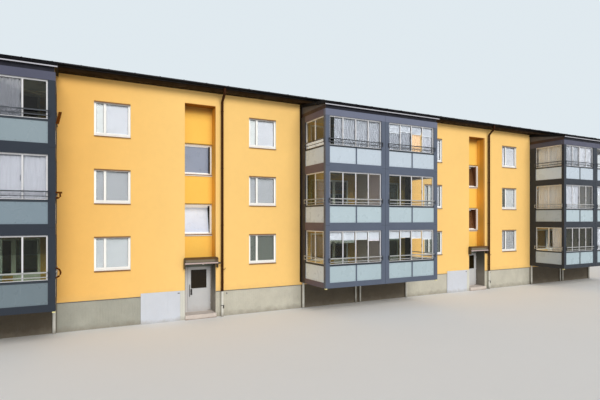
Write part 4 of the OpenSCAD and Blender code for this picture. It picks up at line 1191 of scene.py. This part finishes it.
seed = 0
for (bay, storey), hangings in FRONT_HANGINGS.items():
    left = BAYS[bay][0] + POST_W + 0.05
    top, height = glazed_height(storey)
    for kind, first, last, share in hangings:
        seed += 1
        if kind == "roller":
            for pane in range(int(last - first)):
                drop = height * (share + 0.04 * ((pane + bay) % 3 - 1))
                middle = left + (first + pane + 0.5) * PANE_W - 0.02
                hang_roller(PANE_W - 0.08, drop, at(middle, STACK_Y + 0.125, top))
        else:
            middle = left + (first + last) / 2 * PANE_W
            width = (last - first) * PANE_W - 0.04
            hang_curtain(kind, width, height * share, at(middle, STACK_Y + 0.15, top), seed)
for stack, storey, first, last in SIDE_CURTAINS:
    seed += 1
    top, height = glazed_height(storey)
    middle = WALL_POST_Y - (first + last) / 2 * SIDE_PANE_W
    place = at(STACKS[stack][0] + 0.2, middle, top, math.pi / 2)
    hang_curtain("cream", (last - first) * SIDE_PANE_W, height, place, seed)
roller_bars.piece("roller_bars", PROFILE, bevel=0.002)


def hang_piece(name, work, finish):
    """One piece of hung cloth."""
    cloth_piece = work.piece(name, finish)


for kind, work in curtains.items():
    hang_piece(f"{kind}_curtains", work, CURTAINS[kind])
for kind, work in blinds.items():
    hang_piece(f"{kind}_blinds", work, BLINDS[kind])

# White board low behind the side panes of the middle stack's top storey, in the glowing paint as painted
# light
left, floor_z = STACKS[1][0], LEVELS[2]
boxes("side_low_board", GLOWING_SASH, [
    ((left + 0.12, left + 0.13), (POST_IN + 0.04, WALL_POST_Y - 0.04),
     (floor_z + GLAZING_Z + 0.01, floor_z + 1.22))
], bevel=0.002)

# Screws that hold the parapet boards, four along the top and bottom of each
screw = small(lambda w: w.tube([(0, 0, 0), (0, -0.005, 0)], 0.009, 8))
screws = Work()
board_w = BAY_W / 2 - POST_W - MULLION_W / 2
from_side, from_edge = 0.06, 0.05
along, up = ((board_w - 2 * from_side) / 3, 0, 0), (0, 0, PANEL_H - 2 * from_edge)
for a, b in BAYS:
    for z in LEVELS:
        for x in (a + POST_W, (a + b + MULLION_W) / 2):
            first = (x + from_side, STACK_Y + 0.025, z + PANEL_Z + from_edge)
            screws.mesh(rows(screw, GREY_SHEET, first, 4, along, 2, up))
screws.piece("parapet_screws", GREY_SHEET)

# Pulls at the edge of each sliding pane, and the guide strips under the panes
pull = small(lambda w: w.box((-0.008, 0.008), (-0.014, 0), (-0.09, 0.09)))
pulls = Work()
for a, b in BAYS:
    for z in LEVELS:
        first = (a + POST_W + 0.05 + PANE_W - 0.08, STACK_Y + 0.0605, z + GLAZING_Z + 0.75)
        pulls.mesh(rows(pull, HANDLE, first, 3, (PANE_W, 0, 0)))
pulls.piece("pane_pulls", HANDLE, bevel=0.003)

strips = Work()
for a, b in BAYS:
    for z in LEVELS:
        outline = [(STACK_Y + y, z + GLAZING_Z + up)
                   for y, up in ((0.03, 0), (0.06, 0), (0.06, 0.03), (0.045, 0.03), (0.03, 0.008))]
        strips.prism(outline, (a + POST_W + 0.004, b - POST_W - 0.004))
for left, right in STACKS:
    for z in LEVELS:
        low = z + GLAZING_Z
        for x in ((left + 0.03, left + 0.06), (right - 0.06, right - 0.03)):
            strips.box(x, (POST_IN + 0.004, WALL_POST_Y - 0.004), (low, low + 0.028))
strips.piece("guide_strips", CAP, bevel=0.003)

# Light drip strip under each balcony roof
boxes("balcony_drip_strips", DRIP, [
    ((left - 0.055, right + 0.055), (STACK_Y - 0.088, STACK_Y - 0.078), (LIP_Z - 0.042, LIP_Z + 0.001))
    for left, right in STACKS
], bevel=0.002)

# Dark strips on the wall as painted shadow: left of the middle stack, and over the middle and the right stack
shadow_strip_y, shadow_strip_top = (Y_FRONT - 0.012, Y_FRONT + 0.001), SOFFIT_Z - 0.01
shadow_strips = [((STACKS[1][0] - 0.075, STACKS[1][0]), shadow_strip_y, (1.3, shadow_strip_top))]
shadow_strips += [((left, left + 0.06), shadow_strip_y, (BEAM_TOP, shadow_strip_top)) for left, right in STACKS[1:]]
boxes("stack_wall_shadow_strips", DARK_TRIM, shadow_strips, bevel=0.003)

# Yellowish caps under the corner posts, and joints in the posts
boxes("post_foot_caps", CAP_YELLOW, [
    ((x, x + 0.1), (STACK_Y + 0.015, STACK_Y + 0.115), (1.235, 1.2795))
    for left, right in STACKS for x in (left + 0.01, right - 0.11)
], bevel=0.004)
boxes("post_joints", RUBBER, [
    ((x0 + 0.002, x1 - 0.002), (STACK_Y - 0.001, STACK_Y + 0.02), (z - 0.058, z - 0.05))
    for a, b in BAYS for x0, x1 in ((a + 0.005, a + POST_W), (b - POST_W, b - 0.005)) for z in LEVELS[1:]
])


# Roof


def roof_lap(work):
    """A thin lap in the roofing, from the eave to near the ridge."""
    low_y, high_y = -Y_EAVE + 0.01, -0.17
    high_z = RIDGE_Z + high_y * math.tan(PITCH)
    work.prism([(low_y, EAVE_Z + 0.003), (high_y, high_z + 0.001), (high_y, high_z + 0.013),
                (low_y, EAVE_Z + 0.015)], (-0.02, 0.02))


def gutter_bracket(work):
    """A flat strap under the gutter."""
    outer, inner = GUTTER_R + 0.003, GUTTER_R + 0.0005
    arc = [(math.cos(t), math.sin(t)) for t in (math.pi * k / 10 for k in range(11, 20))]
    outline = [(GUTTER_Y + inner * c, GUTTER_Z + inner * s) for c, s in arc]
    outline += [(GUTTER_Y + outer * c, GUTTER_Z + outer * s) for c, s in arc[::-1]]
    work.prism(outline, (-0.015, 0.015))


def soffit_groove(work):
    """The gap between two boards of the soffit."""
    work.box((-0.004, 0.004), (-Y_EAVE + 0.02, Y_FRONT - 0.01), (SOFFIT_Z - 0.0015, SOFFIT_Z + 0.002))


mirrored_row("roof_laps", ROOF, roof_lap, -19.0, 39, 1.0)
mirrored_row("gutter_brackets", GUTTER, gutter_bracket, -19.2, 49, 0.8)
mirrored_row("soffit_grooves", RUBBER, soffit_groove, -19.4, 195, 0.2)

# A bead along the foot of the render, broken at the recesses and the plates in front
PLATE_W = 1.855
bead = [(Y_FRONT + y, PLINTH_H + up) for y, up in (
    (-0.012, -0.004), (0.02, -0.004), (0.02, 0), (-0.0005, 0), (-0.0005, 0.018), (-0.012, 0.006))]
starts = [-X_END] + [x + RECESS_W for x in RECESSES]
stops = [x - PLATE_W for x in RECESSES] + [X_END]
beads = Work()
for start, stop in zip(starts, stops):
    beads.prism(bead, (start, stop))
beads.prism([(-y, z) for y, z in bead], (-X_END, X_END))
beads.piece("render_beads", GREY_SHEET)


# Entrances


def canopy_trim(side, x):
    """A canopy's pale strip, its dark edging, two small brackets under it and the stub at its right."""
    front, right, low = Y_FRONT - CANOPY_OUT, x + RECESS_W, TRANSOM_TOP
    boxes(f"{side}_canopy_strip", STRIP, [
        ((x - 0.045, right + 0.045), (front - 0.012, front + 0.004), (low + 0.002, low + 0.062))
    ], bevel=0.005)
    edging = Work()
    edging.box((x - 0.05, right + 0.05), (front - 0.008, front + 0.002), (low + 0.066, low + 0.078))
    for start in (x + 0.02, right - 0.05):
        edging.box((start, start + 0.03), (Y_FRONT + 0.1, Y_FRONT + 0.3), (low - 0.012, low - 0.0005))
    edging.prism([(front + 0.01, low - 0.02), (front + 0.05, low - 0.03), (front + 0.05, low + 0.045),
                  (front + 0.01, low + 0.05)], (right + 0.045, right + 0.17))
    edging.piece(f"{side}_canopy_edging", HANDLE, bevel=0.002)


def porch_lamp(side, x):
    """An oval glass dome over the door, in a dark rim."""
    radius, flatness = 0.07, 0.75

    def ovals(sizes):
        return [[(x + 0.98 + r * c, LEAF_Y - out, 2.375 + flatness * r * s) for c, s in circle(24)]
                for r, out in sizes]

    turns = [math.pi / 2 * k / 5 for k in range(6)]
    dome = [(radius * math.cos(t) + 0.001, 0.035 + 0.045 * math.sin(t)) for t in turns]
    lamp = Work()
    lamp.skin(ovals([(radius, 0.012)] + dome), smooth_ends=True)
    lamp.piece(f"{side}_porch_lamp", LAMP)
    rim = Work()
    rim.skin(ovals([(0.082, 0), (0.082, 0.02), (0.069, 0.026), (0.069, 0)]), around=True)
    rim.piece(f"{side}_porch_lamp_rim", HANDLE)


def bell_panel(side, x):
    """A plate with six bell pushes and the slots of a speaker."""
    left = x + 0.045
    panel = Work()
    panel.box((left, left + 0.11), (LEAF_Y - 0.014, LEAF_Y), (1.35, 1.6))
    for row in range(6):
        low = 1.375 + 0.036 * row
        panel.box((left + 0.078, left + 0.095), (LEAF_Y - 0.019, LEAF_Y - 0.013), (low, low + 0.015))
    for row in range(9):
        low = 1.53 + 0.006 * row
        panel.box((left + 0.015, left + 0.06), (LEAF_Y - 0.0155, LEAF_Y - 0.013), (low, low + 0.0025))
    panel.piece(f"{side}_bell_panel", PROFILE, bevel=0.002)


def leaf_fittings(side):
    """The bead round a door's glass, and the plate behind its pull."""
    body = f"{side}_door"
    low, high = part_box(f"{side}_door_glass")
    glass_bead = Work()
    glass_bead.ring((low.x - 0.012, high.x + 0.012), (low.z - 0.012, high.z + 0.012),
                    (LEAF_Y - 0.008, LEAF_Y + 0.014), 0.022)
    glass_bead.piece(f"{side}_door_glass_bead", DOOR, body, 0.004)
    boxes(f"{side}_pull_plate", HANDLE, [
        ((low.x - 0.01, low.x + 0.07), (LEAF_Y - 0.009, LEAF_Y - 0.0003), (0.97, low.z - 0.014))
    ], body, 0.002)


for side, x in zip(("left", "right"), RECESSES):
    canopy_trim(side, x)
    porch_lamp(side, x)
    bell_panel(side, x)
    leaf_fittings(side)

# A vent on each plate, and a small box right of each entrance
vents = Work()
for x in RECESSES:
    vents.box((x - 0.32, x - 0.23), (Y_FRONT - 0.029, Y_FRONT - 0.025), (1.18, 1.22))
    for row in range(3):
        low = 1.187 + 0.011 * row
        vents.box((x - 0.31, x - 0.24), (Y_FRONT - 0.031, Y_FRONT - 0.028), (low, low + 0.004))
    vents.box((x + RECESS_W + 0.5, x + RECESS_W + 0.55), (Y_FRONT + 0.008, Y_FRONT + 0.0195), (1.0, 1.06))
vents.piece("base_vents", GREY_SHEET, bevel=0.002)

# A collar and a foot on each ground pipe, and a hook beside each downpipe
collars, hooks = Work(), Work()
for x in PIPES:
    y = Y_FRONT - 0.11
    collars.tube([(x, y, 0.5), (x, y, 0.53)], 0.064, 20)
    collars.box((x + 0.01, x + 0.06), (y - 0.075, y - 0.04), (0.38, 0.53))
    bend = [(0.06, -0.001, 2.14), (0.06, -0.1, 2.14), (0.1, -0.13, 2.15), (0.14, -0.13, 2.21)]
    hooks.tube([(x + dx, Y_FRONT + dy, z) for dx, dy, z in bend], 0.017, 8)
    hooks.box((x + 0.03, x + 0.09), (Y_FRONT - 0.008, Y_FRONT - 0.0005), (2.1, 2.18))
collars.piece("pipe_collars", HANDLE, bevel=0.002)
hooks.piece("wall_hooks", BROWN_SHEET)

# Brackets on the free side of the stack at the left end: a slanted board, an angle and a bow
brackets = Work()
x, y = STACKS[0][1], STACK_Y + 0.09
foot, head = LEVELS[2] + 0.78, LEVELS[2] + 1.2
slant = [(0.001, foot), (0.1, foot), (0.19, head), (0.09, head)]
brackets.add([(x + dx, py, z) for py in (y - 0.02, y + 0.02) for dx, z in slant],
             [(0, 1, 2, 3), (7, 6, 5, 4), (0, 4, 5, 1), (1, 5, 6, 2), (2, 6, 7, 3), (3, 7, 4, 0)])
low, high = LEVELS[1] + 0.98, LEVELS[1] + 1.16
brackets.box((x - 0.001, x + 0.2), (y - 0.03, y + 0.03), (high - 0.03, high + 0.03))
angle = [(0.13, high - 0.02), (0.14, low + 0.04), (0.1, low), (-0.001, low)]
brackets.tube([(x + dx, y, z) for dx, z in angle], 0.03, 10)
turns = [math.pi * k / 8 - math.pi / 2 for k in range(9)]
bow = [(0.15 * math.cos(t) - 0.001, LEVELS[0] + 1.14 + 0.16 * math.sin(t)) for t in turns]
brackets.tube([(x + dx, y, z) for dx, z in bow], 0.03, 10)
brackets.piece("side_brackets", BRACKET, bevel=0.002)


# Floor, background and light

FLOOR_HALF = 400
floor_mesh = bpy.data.meshes.new("floor")
corners = [(sx * FLOOR_HALF, sy * FLOOR_HALF, -0.001) for sx, sy in ((-1, -1), (1, -1), (1, 1), (-1, 1))]
floor_mesh.from_pydata(corners, [], [(0, 1, 2, 3)])
floor = bpy.data.objects.new("floor", floor_mesh)
scene.collection.objects.link(floor)
floor_finish = Finish("floor_paint", paint(232, 232, 231), 0.9, specular=0.1).mottle(0.01, 3.0)
floor_mesh.materials.append(floor_finish.material)

# Camera, glossy and transmission rays meet a bright background. A weaker one lights the object
world = bpy.data.worlds.new("studio")
scene.world = world
world.use_nodes = True
net = Net(world.node_tree)
background = world.node_tree.nodes["Background"]
rays = net.node("ShaderNodeLightPath").outputs
camera_ray = rays["Is Camera Ray"]
mirrored = net.math("MAXIMUM", rays["Is Glossy Ray"], rays["Is Transmission Ray"])
seen = net.math("MAXIMUM", camera_ray, mirrored)
net.feed(background.inputs["Color"], net.mix(camera_ray, (0.93, 0.96, 1.0, 1), (0.81, 0.89, 0.94, 1)))
net.feed(background.inputs["Strength"], net.spread(seen, 0.0, 1.0, 0.43, 0.92))

# A wide soft sun in front of the street side, kept out of the panes' reflections
key_data = bpy.data.lights.new("key", "SUN")
key_data.energy = 2.1
key_data.angle = math.radians(35)
key_data.color = (1.0, 0.97, 0.93)
key = bpy.data.objects.new("key", key_data)
key.visible_glossy = False
key.rotation_euler = Vector((0.015, -0.85, 0.5)).to_track_quat("Z", "Y").to_euler()
scene.collection.objects.link(key)

scene.view_settings.view_transform = "Standard"
